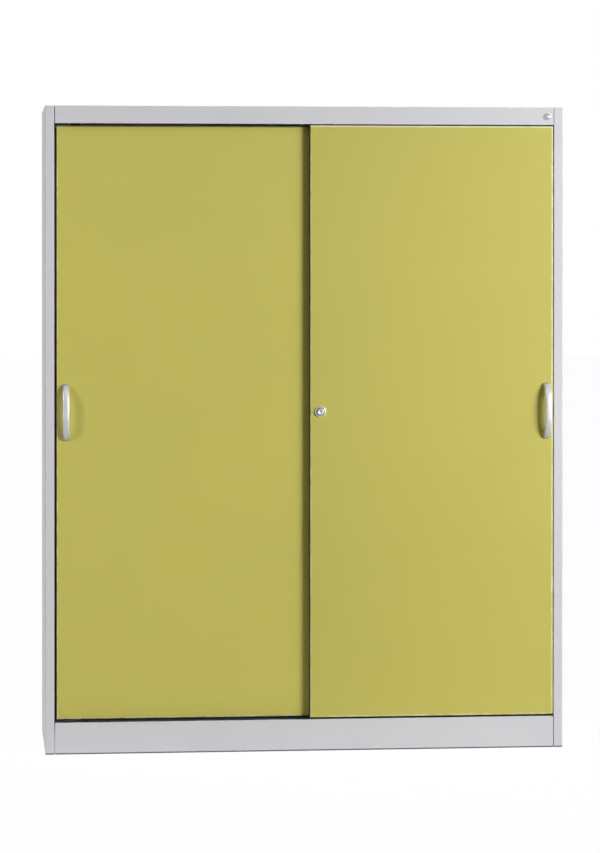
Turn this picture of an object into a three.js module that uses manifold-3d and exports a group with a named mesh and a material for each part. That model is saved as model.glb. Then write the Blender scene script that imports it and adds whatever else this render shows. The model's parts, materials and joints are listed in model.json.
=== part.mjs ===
// Two-door steel cabinet with sliding doors, five binder rows high, with a push lock
import * as THREE from 'three'
import { mergeVertices } from 'three/addons/utils/BufferGeometryUtils.js'
import Module from 'manifold-3d'

const wasm = await Module()
wasm.setup()

// Lengths are in millimetres. X runs to the right, Y to the back and Z up.
// Names that end in Y are depths behind the frame's front plane.

// Overall sizes
const cabinetWidth = 1600
const cabinetHeight = 1980
const cabinetDepth = 420

// Sheet steel and fits
const sheet = 1
const bendRadius = 2
const seatGap = 0.3
const runningGap = 0.3
const cutOverrun = 1
const bendSteps = 3
const roundSteps = 20
const smallRoundSteps = 12

// Frame
const stileWidth = 28.5
const railHeight = 54
const topRearFlange = 40
const plinthHeight = 97
const plinthTopLip = 5
const plinthFootLip = 8
const rearBaseHeight = 110
const floorHeight = 88
const floorFlange = 25

// Doors. The rear door is the left one, and the front door closes over its right edge.
const doorThickness = 20
const doorBendRadius = 5
const doorLip = 12
const doorBottomHeight = 102
const doorTopClearance = 3.5
const frontSideClearance = 1.5
const rearSideClearance = 5
const openedSideClearance = 1.5
const frontDoorSetback = 1.5
const doorGap = 10
const frontDoorLeftEdge = 10.8
const doorOverlap = 59.2

// Levels and widths that follow
const openingHalf = cabinetWidth / 2 - stileWidth
const railBottom = cabinetHeight - railHeight
const underTop = cabinetHeight - sheet - seatGap
const underFold = underTop - bendRadius
const rearDoorSetback = frontDoorSetback + doorThickness + doorGap
const frontTrackY = frontDoorSetback + doorThickness / 2
const rearTrackY = rearDoorSetback + doorThickness / 2
const doorTop = railBottom - doorTopClearance
const doorHeight = doorTop - doorBottomHeight
const frontDoorRightEdge = openingHalf - frontSideClearance
const rearDoorLeftEdge = rearSideClearance - openingHalf
const rearDoorRightEdge = frontDoorLeftEdge + doorOverlap
const doorTravel = openingHalf - openedSideClearance - rearDoorRightEdge
const backPanelY = cabinetDepth - sheet - seatGap - sheet
const interiorClearance = 8.5
const interiorFrontY = rearDoorSetback + doorThickness + interiorClearance

// Upper track: two channels that are open below, hung from a flange under the top
const trackWall = 1.5
const channelWidth = 12
const channelDepth = 18
const trackFlangeGap = 2.5
const trackFlange = interiorFrontY - rearTrackY - channelWidth / 2 - trackFlangeGap
const upperTrackBottom = railBottom + sheet
const channelCeiling = upperTrackBottom + channelDepth
const railHem = frontTrackY - channelWidth / 2 - trackWall - seatGap

// Lower track: a flat strip with two ridges that the wheels straddle
const ridgeWidth = 3
const ridgeHeight = 6
const ridgeTop = floorHeight + seatGap + trackWall + ridgeHeight

// Wheels and their carriages
const treadRadius = 12.5
const wheelFlange = 2.5
const wheelRadius = treadRadius + wheelFlange
const wheelWidth = 8
const ridgeSideGap = 0.4
const treadWidth = ridgeWidth + 2 * ridgeSideGap
const grooveFlare = 1.1
const grooveMouth = treadWidth + 2 * grooveFlare
const axleRadius = 3
const axleHeight = ridgeTop + runningGap + treadRadius
const wheelSideGap = 0.8
const wheelTopGap = 2.8
const wheelSlotGap = 1
const wheelSlotLength = 2 * (wheelRadius + wheelSlotGap)
const carriageInset = 90
const carriageLength = 36
const carriageSheet = 1.6
const carriageTop = axleHeight - doorBottomHeight + wheelRadius + wheelTopGap + carriageSheet

// Top guides and the stops in the upper track
const guideInset = 60
const guideFootLength = 30
const guideFootWidth = 12
const guideFootGap = 1.2
const guideFootHeight = upperTrackBottom - doorTop - seatGap - guideFootGap
const guidePostLength = 20
const guideSideGap = 1.5
const guidePostWidth = channelWidth - 2 * guideSideGap
const guideTopGap = 5.2
const guidePostHeight = channelDepth + guideFootGap - guideTopGap
const stopLength = 12
const stopHeight = 14
const stopClearance = 0.5

// Closing buffers
const bufferWidth = 10
const bufferHeight = 30

// Bow handles
const handleHeight = 1043
const handleLength = 174
const handleWidth = 22
const handleReach = 35
const handleEndReach = 9
const handleBarThickness = 8
const handleFootLength = 17
const handleRound = 3
const handleRoundSteps = 1
const handleBowPower = 3
const handleSteps = 12
const handleScrewInset = 7
const handleScrewSpacing = handleLength - 2 * handleScrewInset
const rearHandleInset = 28.8
const frontHandleInset = 21.3
const screwRadius = 2
const screwClearance = 0.3
const screwDepth = 10
const screwHeadRadius = 4
const screwHeadHeight = 2.5

// Push lock
const lockInset = 33.4
const plungerRadius = 11
const plungerProud = 14
const plungerDepth = 6
const plungerWall = 3.2
const barrelWall = 1.7
const barrelRadius = plungerRadius + runningGap + barrelWall
const barrelBack = 1.5
const barrelDepth = doorThickness - sheet
const escutcheonRim = 3
const escutcheonRadius = barrelRadius + escutcheonRim
const escutcheonThickness = 4
const edgeChamfer = 1
const boltRadius = 5
const boltSetback = 0.5
const boltTip = doorThickness - boltSetback
const coreRadius = plungerRadius - plungerWall - runningGap
const coreProud = 0.8
const coreDepth = 12
const keySlotWidth = 2.2
const keySlotLength = 9
const keySlotDepth = 4
const lockNutRim = 5
const lockNutRadius = barrelRadius + lockNutRim
const lockNutThickness = 5
const hexSides = 6
const keeperWidth = 30
const keeperHeight = 44
const keeperClearance = 1.5
const keeperThickness = doorGap - keeperClearance - seatGap
const keeperHoleClearance = 1.5
const keeperHoleRadius = boltRadius + keeperHoleClearance

// Door stiffener
const stiffenerFootWidth = 15
const stiffenerCrown = 30
const stiffenerHeight = doorThickness - 3 * sheet - 2 * seatGap
const stiffenerEndGap = 15

// Rail button
const buttonRadius = 10
const buttonDome = 6
const buttonRim = 1.2
const buttonStemRadius = 4
const buttonStemLength = railHem - seatGap
const buttonInset = 21.5
const buttonDrop = 28.5
const domeSteps = 5

// Shelves, partition and posts. Each shelf end has two tongues that drop into slots.
const partitionThickness = 25
const shelfPitch = 375
const slotsPerShelf = 3
const slotPitch = shelfPitch / slotsPerShelf
const shelfRows = Math.floor((railBottom - floorHeight) / shelfPitch)
const shelfHeight = 30
const shelfLip = 12
const shelfFrontSetback = 2
const shelfRearGap = 2
const shelfEndGap = 1
const postDepth = 6
const postWidth = 20
const postInset = 25
const rearPostInset = 55
const frontPostY = interiorFrontY + postInset
const rearPostY = cabinetDepth - rearPostInset
const postEndGap = 10
const tongueWidth = 2.4
const tongueHeight = 8
const tongueRise = 6
const tongueHold = 1
const tongueReach = shelfEndGap + sheet + tongueHold
const tongueSideGap = 0.8
const slotSpare = 3.7
const slotWidth = tongueWidth + 2 * tongueSideGap
const slotHeight = tongueHeight + seatGap + slotSpare

// Levelling feet and the lugs that carry them
const footInset = 46
const footX = openingHalf - footInset
const footY = 25
const footPadRadius = 12
const footPadHeight = 4
const footConeHeight = 3
const footRodRadius = 5
const footHeadRadius = 8
const footHeadHeight = 4
const footHeadGap = 1
const footLift = 1
const footHeight = floorHeight - floorFlange - footHeadGap - footLift
const lugMargin = 20
const lugThickness = 3
const lugHeight = 40

// Finishes
const greyPaint = finish(0xcbccd0, 0.5, 0)
const innerPaint = finish(0xc4c5c9, 0.55, 0)
const limePaint = finish(0xc3bb62, 0.5, 0)
const silverPaint = finish(0xc9c8cc, 0.35, 0.6)
const chrome = finish(0xd9dadd, 0.12, 1)
const zinc = finish(0xa9adb1, 0.4, 0.9)
const blackNylon = finish(0x2c2c2f, 0.5, 0)
const blackRubber = finish(0x26262a, 0.8, 0)

function finish(color, roughness, metalness) {
  return new THREE.MeshStandardMaterial({ color, roughness, metalness })
}

// Solids

// A closed surface as a solid that can be joined and cut
function solid(geometry) {
  const bare = geometry.clone()
  bare.deleteAttribute('normal')
  bare.deleteAttribute('uv')
  const merged = mergeVertices(bare)
  return new wasm.Manifold(new wasm.Mesh({
    numProp: 3,
    vertProperties: new Float32Array(merged.attributes.position.array),
    triVerts: new Uint32Array(merged.index.array),
  }))
}

function surface(body) {
  const mesh = body.getMesh()
  const geometry = new THREE.BufferGeometry()
  geometry.setAttribute('position', new THREE.BufferAttribute(new Float32Array(mesh.vertProperties), mesh.numProp))
  geometry.setIndex(new THREE.BufferAttribute(new Uint32Array(mesh.triVerts), 1))
  geometry.computeVertexNormals()
  return geometry
}

function join(first, ...others) {
  return surface(others.reduce((body, other) => body.add(solid(other)), solid(first)))
}

function cut(first, ...tools) {
  return surface(tools.reduce((body, tool) => body.subtract(solid(tool)), solid(first)))
}

// A block from its lowest to its highest corner
function block(x0, x1, y0, y1, z0, z1) {
  const geometry = new THREE.BoxGeometry(x1 - x0, y1 - y0, z1 - z0)
  return geometry.translate((x0 + x1) / 2, (y0 + y1) / 2, (z0 + z1) / 2)
}

// A round bar along Y
function barAlongY(radius, y0, y1, x = 0, z = 0, steps = roundSteps) {
  const geometry = new THREE.CylinderGeometry(radius, radius, y1 - y0, steps)
  return geometry.translate(x, (y0 + y1) / 2, z)
}

// A round bar along Z
function barAlongZ(radius, z0, z1, x, y, steps = roundSteps) {
  const geometry = new THREE.CylinderGeometry(radius, radius, z1 - z0, steps)
  return geometry.rotateX(Math.PI / 2).translate(x, y, (z0 + z1) / 2)
}

// A section drawn in Y and Z, carried along X with its middle at zero
function alongX(shape, length) {
  const geometry = new THREE.ExtrudeGeometry(shape, { depth: length, bevelEnabled: false, curveSegments: bendSteps })
  const basis = new THREE.Matrix4().makeBasis(
    new THREE.Vector3(0, 1, 0),
    new THREE.Vector3(0, 0, 1),
    new THREE.Vector3(1, 0, 0),
  )
  return geometry.applyMatrix4(basis).translate(-length / 2, 0, 0)
}

// A plan drawn in X and Y, carried up from zero
function upward(shape, height) {
  return new THREE.ExtrudeGeometry(shape, { depth: height, bevelEnabled: false, curveSegments: bendSteps })
}

function outline(points) {
  return new THREE.Shape(points.map(([across, up]) => new THREE.Vector2(across, up)))
}

function roundedRectangle(x0, x1, y0, y1, radius) {
  const shape = new THREE.Shape()
  shape.absarc(x1 - radius, y0 + radius, radius, -Math.PI / 2, 0)
  shape.absarc(x1 - radius, y1 - radius, radius, 0, Math.PI / 2)
  shape.absarc(x0 + radius, y1 - radius, radius, Math.PI / 2, Math.PI)
  shape.absarc(x0 + radius, y0 + radius, radius, Math.PI, 3 * Math.PI / 2)
  return shape
}

// The section of a folded sheet. The path is its outer face, and the sheet lies on the path's left.
function foldedSheet(path, thickness = sheet, radius = bendRadius) {
  const corners = path.map(([across, up]) => new THREE.Vector2(across, up))
  const leftOf = (from, to) => {
    const way = to.clone().sub(from).normalize()
    return new THREE.Vector2(-way.y, way.x)
  }
  const face = []
  const otherFace = []
  const last = corners.length - 1
  corners.forEach((corner, index) => {
    if (index === 0 || index === last) {
      const side = index === 0 ? leftOf(corner, corners[1]) : leftOf(corners[last - 1], corner)
      face.push(corner.clone())
      otherFace.push(corner.clone().addScaledVector(side, thickness))
      return
    }
    const before = leftOf(corners[index - 1], corner)
    const after = leftOf(corner, corners[index + 1])
    const turn = Math.atan2(before.cross(after), before.dot(after))
    const toLeft = turn > 0
    const reach = (toLeft ? radius : thickness - radius) / (1 + before.dot(after))
    const centre = corner.clone().addScaledVector(before.clone().add(after), reach)
    const side = toLeft ? -1 : 1
    const faceRadius = toLeft ? radius : radius - thickness
    const otherRadius = toLeft ? radius - thickness : radius
    for (let step = 0; step <= bendSteps; step += 1) {
      const spoke = before.clone().rotateAround(new THREE.Vector2(0, 0), turn * step / bendSteps)
      face.push(centre.clone().addScaledVector(spoke, side * faceRadius))
      otherFace.push(centre.clone().addScaledVector(spoke, side * otherRadius))
    }
  })
  return new THREE.Shape([...face, ...otherFace.reverse()])
}

// A turned shape about Y from a profile of radius and Y
function turned(profile, steps = roundSteps) {
  return new THREE.LatheGeometry(profile.map(([radius, along]) => new THREE.Vector2(radius, along)), steps)
}

function add(group, name, geometry, material, x = 0, y = 0, z = 0) {
  const mesh = new THREE.Mesh(geometry, material)
  mesh.name = name
  mesh.position.set(x, y, z)
  group.add(mesh)
  return mesh
}

// Carcass

// A hollow double-skinned side: a folded tube with a closed top
function sidePanel() {
  const skin = roundedRectangle(0, stileWidth, 0, cabinetDepth, bendRadius)
  const room = roundedRectangle(sheet, stileWidth - sheet, sheet, cabinetDepth - sheet, bendRadius - sheet)
  return cut(upward(skin, cabinetHeight), upward(room, cabinetHeight - sheet).translate(0, 0, -cutOverrun),
    upward(room, cutOverrun + sheet).translate(0, 0, -cutOverrun))
}

// The top sheet, whose front folds down as the rail over the doors
function topPanel(length) {
  const section = foldedSheet([
    [cabinetDepth, cabinetHeight - topRearFlange],
    [cabinetDepth, cabinetHeight],
    [0, cabinetHeight],
    [0, railBottom],
    [railHem, railBottom],
  ])
  const stemHole = barAlongY(buttonStemRadius + seatGap, -cutOverrun, sheet + cutOverrun,
    openingHalf - buttonInset, cabinetHeight - buttonDrop)
  return cut(alongX(section, length), stemHole)
}

function floorPanel(length) {
  const front = sheet + seatGap
  const back = cabinetDepth - sheet - seatGap
  return alongX(foldedSheet([
    [back, floorHeight - floorFlange],
    [back, floorHeight],
    [front, floorHeight],
    [front, floorHeight - floorFlange],
  ]), length)
}

// A base rail: a folded sheet on edge with two lugs for the levelling feet. Only the plinth has a top lip.
function baseRail(length, height, topLip = []) {
  const rail = alongX(foldedSheet([
    ...topLip,
    [0, height],
    [0, 0],
    [plinthFootLip, 0],
  ]), length)
  const lugs = [-footX, footX].map((x) => block(x - lugMargin, x + lugMargin, sheet / 2, footY + lugMargin,
    lugHeight, lugHeight + lugThickness))
  const holes = [-footX, footX].map((x) => barAlongZ(footRodRadius + runningGap, lugHeight - cutOverrun,
    lugHeight + lugThickness + cutOverrun, x, footY, smallRoundSteps))
  return cut(join(rail, ...lugs), ...holes)
}

function backPanel() {
  const width = openingHalf - seatGap - seatGap / 2
  return block(0, width, backPanelY, backPanelY + sheet, floorHeight + seatGap, underFold)
}

// The lower edge of every slot that a shelf tongue can hook into, from the floor up
function slotHeights() {
  const first = floorHeight + slotPitch - shelfHeight + tongueRise - seatGap
  const count = Math.floor((railBottom - postEndGap - slotHeight - first) / slotPitch) + 1
  return Array.from({ length: count }, (_, index) => first + index * slotPitch)
}

// A hollow partition with slots through both skins
function centrePartition() {
  const half = partitionThickness / 2
  const back = backPanelY - seatGap
  const height = underTop - floorHeight - seatGap
  const skin = roundedRectangle(-half, half, interiorFrontY, back, bendRadius)
  const room = roundedRectangle(-half + sheet, half - sheet, interiorFrontY + sheet, back - sheet, bendRadius - sheet)
  skin.holes.push(room)
  const slots = slotHeights().flatMap((z) => [frontPostY, rearPostY].map((y) => block(
    -half - cutOverrun, half + cutOverrun, y - slotWidth / 2, y + slotWidth / 2, z, z + slotHeight)))
  return cut(upward(skin, height).translate(0, 0, floorHeight + seatGap), ...slots)
}

// A slotted shelf post: a shallow channel that stands on the side's inner skin and faces +X
function shelfPost() {
  const half = postWidth / 2
  const bottom = floorHeight + seatGap
  const height = railBottom - postEndGap - bottom
  const channel = upward(foldedSheet([[0, -half], [postDepth, -half], [postDepth, half], [0, half]]), height)
  const slots = slotHeights().map((z) => block(
    postDepth - sheet - cutOverrun, postDepth + cutOverrun, -slotWidth / 2, slotWidth / 2, z, z + slotHeight))
  return cut(channel.translate(0, 0, bottom), ...slots)
}

// A folded steel shelf, open below, with two tongues at each end
function shelf(length) {
  const depth = backPanelY - shelfRearGap - interiorFrontY - shelfFrontSetback
  const front = interiorFrontY + shelfFrontSetback
  const half = length / 2
  const tray = block(-half, half, front, front + depth, 0, shelfHeight)
  const room = block(-half + sheet, half - sheet, front + sheet, front + depth - sheet, sheet, shelfHeight - sheet)
  const mouth = block(-half + shelfLip, half - shelfLip, front + shelfLip, front + depth - shelfLip,
    -cutOverrun, sheet + cutOverrun)
  const tongues = [-1, 1].flatMap((side) => [frontPostY, rearPostY].map((y) => {
    const inner = side * (half - sheet / 2)
    const outer = side * (half + tongueReach)
    return block(Math.min(inner, outer), Math.max(inner, outer), y - tongueWidth / 2, y + tongueWidth / 2,
      tongueRise, tongueRise + tongueHeight)
  }))
  return join(cut(tray, room, mouth), ...tongues)
}

function upperTrack(length) {
  const half = channelWidth / 2
  const frontIn = frontTrackY - half
  const frontOut = frontTrackY + half
  const rearIn = rearTrackY - half
  const rearOut = rearTrackY + half
  const low = upperTrackBottom
  const top = channelCeiling + trackWall
  return alongX(outline([
    [frontIn - trackWall, low],
    [frontIn, low],
    [frontIn, channelCeiling],
    [frontOut, channelCeiling],
    [frontOut, low],
    [frontOut + trackWall, low],
    [frontOut + trackWall, channelCeiling],
    [rearIn - trackWall, channelCeiling],
    [rearIn - trackWall, low],
    [rearIn, low],
    [rearIn, channelCeiling],
    [rearOut, channelCeiling],
    [rearOut, low],
    [rearOut + trackWall, low],
    [rearOut + trackWall, underTop - trackWall],
    [rearOut + trackFlange, underTop - trackWall],
    [rearOut + trackFlange, underTop],
    [rearOut, underTop],
    [rearOut, top],
    [frontIn - trackWall, top],
  ]), length)
}

function lowerTrack(length) {
  const low = floorHeight + seatGap
  const top = low + trackWall
  const half = ridgeWidth / 2
  const ridge = (y) => [
    [y + half, top],
    [y + half, ridgeTop],
    [y - half, ridgeTop],
    [y - half, top],
  ]
  return alongX(outline([
    [frontTrackY - channelWidth / 2, low],
    [rearTrackY + channelWidth / 2, low],
    [rearTrackY + channelWidth / 2, top],
    ...ridge(rearTrackY),
    ...ridge(frontTrackY),
    [frontTrackY - channelWidth / 2, top],
  ]), length)
}

function trackStop() {
  const half = channelWidth / 2 - seatGap
  return block(-stopLength / 2, stopLength / 2, -half, half, -stopHeight, 0)
}

function closingBuffer(clearance) {
  const thickness = clearance - 2 * seatGap
  return block(-thickness / 2, thickness / 2, -bufferWidth / 2, bufferWidth / 2, -bufferHeight / 2, bufferHeight / 2)
}

// A domed button with a stem through the rail. Its dome stands out towards -Y.
function railButton() {
  const dome = Array.from({ length: domeSteps + 1 }, (_, index) => {
    const angle = Math.PI / 2 * index / domeSteps
    return [buttonRadius * Math.sin(angle), -seatGap - buttonRim - buttonDome * Math.cos(angle)]
  })
  return turned([
    ...dome,
    [buttonRadius, -seatGap],
    [buttonStemRadius, -seatGap],
    [buttonStemRadius, buttonStemLength],
    [0, buttonStemLength],
  ])
}

// A levelling foot: a pad, a threaded rod and a head that a spanner turns
function levellingFoot() {
  const rodTop = footHeight - footHeadHeight
  return turned([
    [0, 0],
    [footPadRadius, 0],
    [footPadRadius, footPadHeight],
    [footRodRadius, footPadHeight + footConeHeight],
    [footRodRadius, rodTop],
    [footHeadRadius, rodTop],
    [footHeadRadius, footHeight],
    [0, footHeight],
  ], smallRoundSteps).rotateX(Math.PI / 2)
}

// Doors. A door's own frame has zero at its middle in X, its face in Y and its bottom edge in Z.

// A slab whose front edges are rounded, square at the back
function frontRoundedSlab(width, height, depth, radius) {
  const half = width / 2
  const face = outline([[-half, 0], [half, 0], [half, height], [-half, height]])
  const geometry = new THREE.ExtrudeGeometry(face, {
    depth,
    bevelThickness: radius,
    bevelSize: radius,
    bevelOffset: -radius,
    bevelSegments: bendSteps,
  })
  const basis = new THREE.Matrix4().makeBasis(
    new THREE.Vector3(1, 0, 0),
    new THREE.Vector3(0, 0, 1),
    new THREE.Vector3(0, -1, 0),
  )
  geometry.applyMatrix4(basis).translate(0, depth + radius, 0)
  return cut(geometry, block(-half - cutOverrun, half + cutOverrun, depth, depth + radius * 2 + cutOverrun,
    -cutOverrun, height + cutOverrun))
}

// A folded door pan: face, four edges and return lips, with openings for its fittings
function doorPan(door) {
  const { width } = door
  const half = width / 2
  const shell = frontRoundedSlab(width, doorHeight, doorThickness, doorBendRadius)
  const room = frontRoundedSlab(width - 2 * sheet, doorHeight - 2 * sheet, doorThickness - 2 * sheet,
    doorBendRadius - sheet).translate(0, sheet, sheet)
  const mouth = block(-half + doorLip, half - doorLip, doorThickness / 2, doorThickness + cutOverrun,
    doorLip, doorHeight - doorLip)
  const middle = doorThickness / 2
  const slotHalf = wheelWidth / 2 + wheelSideGap
  const wheelSlots = carriagePlaces(door).map((x) => block(x - wheelSlotLength / 2, x + wheelSlotLength / 2,
    middle - slotHalf, middle + slotHalf, -cutOverrun, sheet + cutOverrun))
  const screwHoles = [-1, 1].map((side) => barAlongY(screwRadius + screwClearance, -cutOverrun,
    sheet + cutOverrun, door.handleX, handleLevel + side * handleScrewSpacing / 2, smallRoundSteps))
  const lockHoles = door.lockX === undefined ? [] : [
    barAlongY(barrelRadius + seatGap, -cutOverrun, sheet + cutOverrun, door.lockX, handleLevel),
  ]
  return cut(shell, room, mouth, ...wheelSlots, ...screwHoles, ...lockHoles)
}

function carriagePlaces(door) {
  return [-1, 1].map((side) => side * (door.width / 2 - carriageInset))
}

// A hat-shaped stiffener behind the door's face
function stiffener() {
  const near = sheet + seatGap
  const crown = stiffenerCrown / 2
  const foot = crown + stiffenerFootWidth
  const far = near + stiffenerHeight
  return upward(foldedSheet([
    [-foot, near],
    [-crown, near],
    [-crown, far],
    [crown, far],
    [crown, near],
    [foot, near],
  ]), doorHeight - 2 * stiffenerEndGap)
}

// How far the handle's front stands off the door, at a share of its half length
function bowReach(share) {
  return handleEndReach + (handleReach - handleEndReach) * (1 - Math.abs(share) ** handleBowPower)
}

// A bow handle: a curved bar on two feet, with a blind hole in each foot
function bowHandle() {
  const half = handleLength / 2
  const inner = half - handleFootLength
  const places = (reach) => Array.from({ length: handleSteps + 1 }, (_, index) => reach * (2 * index / handleSteps - 1))
  const front = places(half).map((z) => [-bowReach(z / half), z])
  const back = places(inner).map((z) => [-bowReach(z / half) + handleBarThickness, z])
  const side = outline([
    [-seatGap, -half],
    ...front,
    [-seatGap, half],
    [-seatGap, inner],
    ...back.reverse(),
    [-seatGap, -inner],
  ])
  const geometry = new THREE.ExtrudeGeometry(side, {
    depth: handleWidth - 2 * handleRound,
    bevelThickness: handleRound,
    bevelSize: handleRound,
    bevelOffset: -handleRound,
    bevelSegments: handleRoundSteps,
  })
  const basis = new THREE.Matrix4().makeBasis(
    new THREE.Vector3(0, 1, 0),
    new THREE.Vector3(0, 0, 1),
    new THREE.Vector3(1, 0, 0),
  )
  geometry.applyMatrix4(basis).translate(handleRound - handleWidth / 2, 0, 0)
  const holes = [-1, 1].map((way) => barAlongY(screwRadius + screwClearance, -screwDepth - screwClearance,
    cutOverrun, 0, way * handleScrewSpacing / 2, smallRoundSteps))
  return cut(geometry, ...holes)
}

function handleScrew() {
  const head = sheet + seatGap
  return turned([
    [0, -screwDepth],
    [screwRadius, -screwDepth],
    [screwRadius, head],
    [screwHeadRadius, head],
    [screwHeadRadius, head + screwHeadHeight],
    [0, head + screwHeadHeight],
  ], smallRoundSteps)
}

// How high the pan's inner surface stands over its bottom edge, at a depth behind its face
function panFloor(y) {
  const inner = doorBendRadius - sheet
  const into = Math.min(Math.max(doorBendRadius - y, 0), inner)
  const facetSag = inner * (1 - Math.cos(Math.PI / 4 / bendSteps))
  return doorBendRadius - Math.sqrt(inner ** 2 - into ** 2) + facetSag
}

// A folded wheel carriage with its axle, standing on the door's bottom flange
function rollerCarriage() {
  const middle = doorThickness / 2
  const outer = wheelWidth / 2 + wheelSideGap + carriageSheet
  const low = panFloor(middle - outer) + seatGap
  const bracket = alongX(foldedSheet([
    [middle + outer, low],
    [middle + outer, carriageTop],
    [middle - outer, carriageTop],
    [middle - outer, low],
  ], carriageSheet, carriageSheet + bendRadius), carriageLength)
  const axleHalf = outer - carriageSheet / 2
  const axle = barAlongY(axleRadius, middle - axleHalf, middle + axleHalf, 0, axleHeight - doorBottomHeight)
  return join(bracket, axle)
}

function grooveWheel() {
  const side = wheelWidth / 2
  const mouth = grooveMouth / 2
  const tread = treadWidth / 2
  const bore = axleRadius + runningGap
  return turned([
    [bore, -side],
    [wheelRadius, -side],
    [wheelRadius, -mouth],
    [treadRadius, -tread],
    [treadRadius, tread],
    [wheelRadius, mouth],
    [wheelRadius, side],
    [bore, side],
    [bore, -side],
  ])
}

// A nylon guide on the door's top edge, whose post runs in the upper track
function topGuide() {
  const footTop = seatGap + guideFootHeight
  const foot = block(-guideFootLength / 2, guideFootLength / 2, -guideFootWidth / 2, guideFootWidth / 2,
    seatGap, footTop)
  const post = block(-guidePostLength / 2, guidePostLength / 2, -guidePostWidth / 2, guidePostWidth / 2,
    footTop - seatGap, footTop + guidePostHeight)
  return join(foot, post)
}

// Lock pieces, turned about the lock's own axis

function lockBarrel() {
  const bore = plungerRadius + runningGap
  const wall = barrelDepth - barrelBack
  const boltHole = boltRadius + runningGap
  return turned([
    [bore, -seatGap - escutcheonThickness],
    [escutcheonRadius - edgeChamfer, -seatGap - escutcheonThickness],
    [escutcheonRadius, -seatGap - escutcheonThickness + edgeChamfer],
    [escutcheonRadius, -seatGap],
    [barrelRadius, -seatGap],
    [barrelRadius, barrelDepth],
    [boltHole, barrelDepth],
    [boltHole, wall],
    [bore, wall],
    [bore, -seatGap - escutcheonThickness],
  ])
}

function lockNut() {
  const near = sheet + seatGap
  const far = near + lockNutThickness
  const hexagon = new THREE.CylinderGeometry(lockNutRadius, lockNutRadius, lockNutThickness, hexSides)
  return cut(hexagon.translate(0, (near + far) / 2, 0), barAlongY(barrelRadius + runningGap, 0, far + cutOverrun))
}

function lockPlunger() {
  const coreBore = coreRadius + runningGap
  const coreEnd = coreDepth + runningGap - plungerProud
  return turned([
    [coreBore, -plungerProud],
    [plungerRadius - edgeChamfer, -plungerProud],
    [plungerRadius, -plungerProud + edgeChamfer],
    [plungerRadius, plungerDepth],
    [boltRadius, plungerDepth],
    [boltRadius, boltTip - edgeChamfer],
    [boltRadius - edgeChamfer, boltTip],
    [0, boltTip],
    [0, coreEnd],
    [coreBore, coreEnd],
    [coreBore, -plungerProud],
  ])
}

function keyCore() {
  const front = -plungerProud - coreProud
  const core = barAlongY(coreRadius, front, coreDepth - plungerProud)
  const slot = block(-keySlotWidth / 2, keySlotWidth / 2, front - cutOverrun, front + keySlotDepth,
    -keySlotLength / 2, keySlotLength / 2)
  return cut(core, slot)
}

function keeper() {
  const plate = block(-keeperWidth / 2, keeperWidth / 2, -seatGap - keeperThickness, -seatGap,
    -keeperHeight / 2, keeperHeight / 2)
  return cut(plate, barAlongY(keeperHoleRadius, -keeperThickness - cutOverrun, cutOverrun))
}

// Assembly

const handleLevel = handleHeight - doorBottomHeight
const bayWidth = openingHalf - seatGap

function buildCarcass(group) {
  const betweenStiles = 2 * bayWidth
  add(group, 'side_panel_left', sidePanel(), greyPaint, -cabinetWidth / 2)
  add(group, 'side_panel_right', sidePanel(), greyPaint, openingHalf)
  add(group, 'top_panel', topPanel(betweenStiles), greyPaint)
  add(group, 'floor_panel', floorPanel(betweenStiles), innerPaint)
  add(group, 'front_plinth', baseRail(betweenStiles, plinthHeight, [[plinthTopLip, plinthHeight]]), greyPaint)
  const rearRail = add(group, 'rear_base_rail', baseRail(betweenStiles, rearBaseHeight), greyPaint)
  rearRail.rotation.z = Math.PI
  rearRail.position.y = cabinetDepth
  add(group, 'back_panel_left', backPanel(), innerPaint, -bayWidth)
  add(group, 'back_panel_right', backPanel(), innerPaint, seatGap / 2)
  add(group, 'rail_button', railButton(), chrome, openingHalf - buttonInset, 0, cabinetHeight - buttonDrop)
}

function buildTracks(group) {
  add(group, 'upper_track', upperTrack(2 * bayWidth), zinc)
  add(group, 'lower_track', lowerTrack(2 * bayWidth), zinc)
  const reach = guidePostLength / 2 + stopClearance + stopLength / 2
  const stopTop = channelCeiling - seatGap
  const frontStopX = frontDoorLeftEdge + guideInset - doorTravel - reach
  const rearStopX = rearDoorRightEdge - guideInset + doorTravel + reach
  add(group, 'front_track_stop', trackStop(), zinc, frontStopX, frontTrackY, stopTop)
  add(group, 'rear_track_stop', trackStop(), zinc, rearStopX, rearTrackY, stopTop)
  const leftX = rearSideClearance / 2 - openingHalf
  const rightX = openingHalf - frontSideClearance / 2
  add(group, 'closing_buffer_left', closingBuffer(rearSideClearance), blackRubber, leftX, rearTrackY, handleHeight)
  add(group, 'closing_buffer_right', closingBuffer(frontSideClearance), blackRubber, rightX, frontTrackY, handleHeight)
}

function buildInterior(group) {
  add(group, 'centre_partition', centrePartition(), innerPaint)
  const postX = openingHalf - seatGap
  for (const [place, y] of [['front', frontPostY], ['rear', rearPostY]]) {
    add(group, `shelf_post_left_${place}`, shelfPost(), zinc, -postX, y)
    const right = add(group, `shelf_post_right_${place}`, shelfPost(), zinc, postX, y)
    right.rotation.z = Math.PI
  }
  const bayInner = partitionThickness / 2
  const bayOuter = postX - postDepth
  const shelfLength = bayOuter - bayInner - 2 * shelfEndGap
  const shelfX = (bayInner + bayOuter) / 2
  for (let row = 1; row <= shelfRows; row += 1) {
    const z = floorHeight + row * shelfPitch - shelfHeight
    add(group, `shelf_left_${row}`, shelf(shelfLength), innerPaint, -shelfX, 0, z)
    add(group, `shelf_right_${row}`, shelf(shelfLength), innerPaint, shelfX, 0, z)
  }
}

function buildFeet(group) {
  for (const [side, x] of [['left', -footX], ['right', footX]]) {
    add(group, `levelling_foot_front_${side}`, levellingFoot(), zinc, x, footY, footLift)
    add(group, `levelling_foot_rear_${side}`, levellingFoot(), zinc, x, cabinetDepth - footY, footLift)
  }
}

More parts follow.
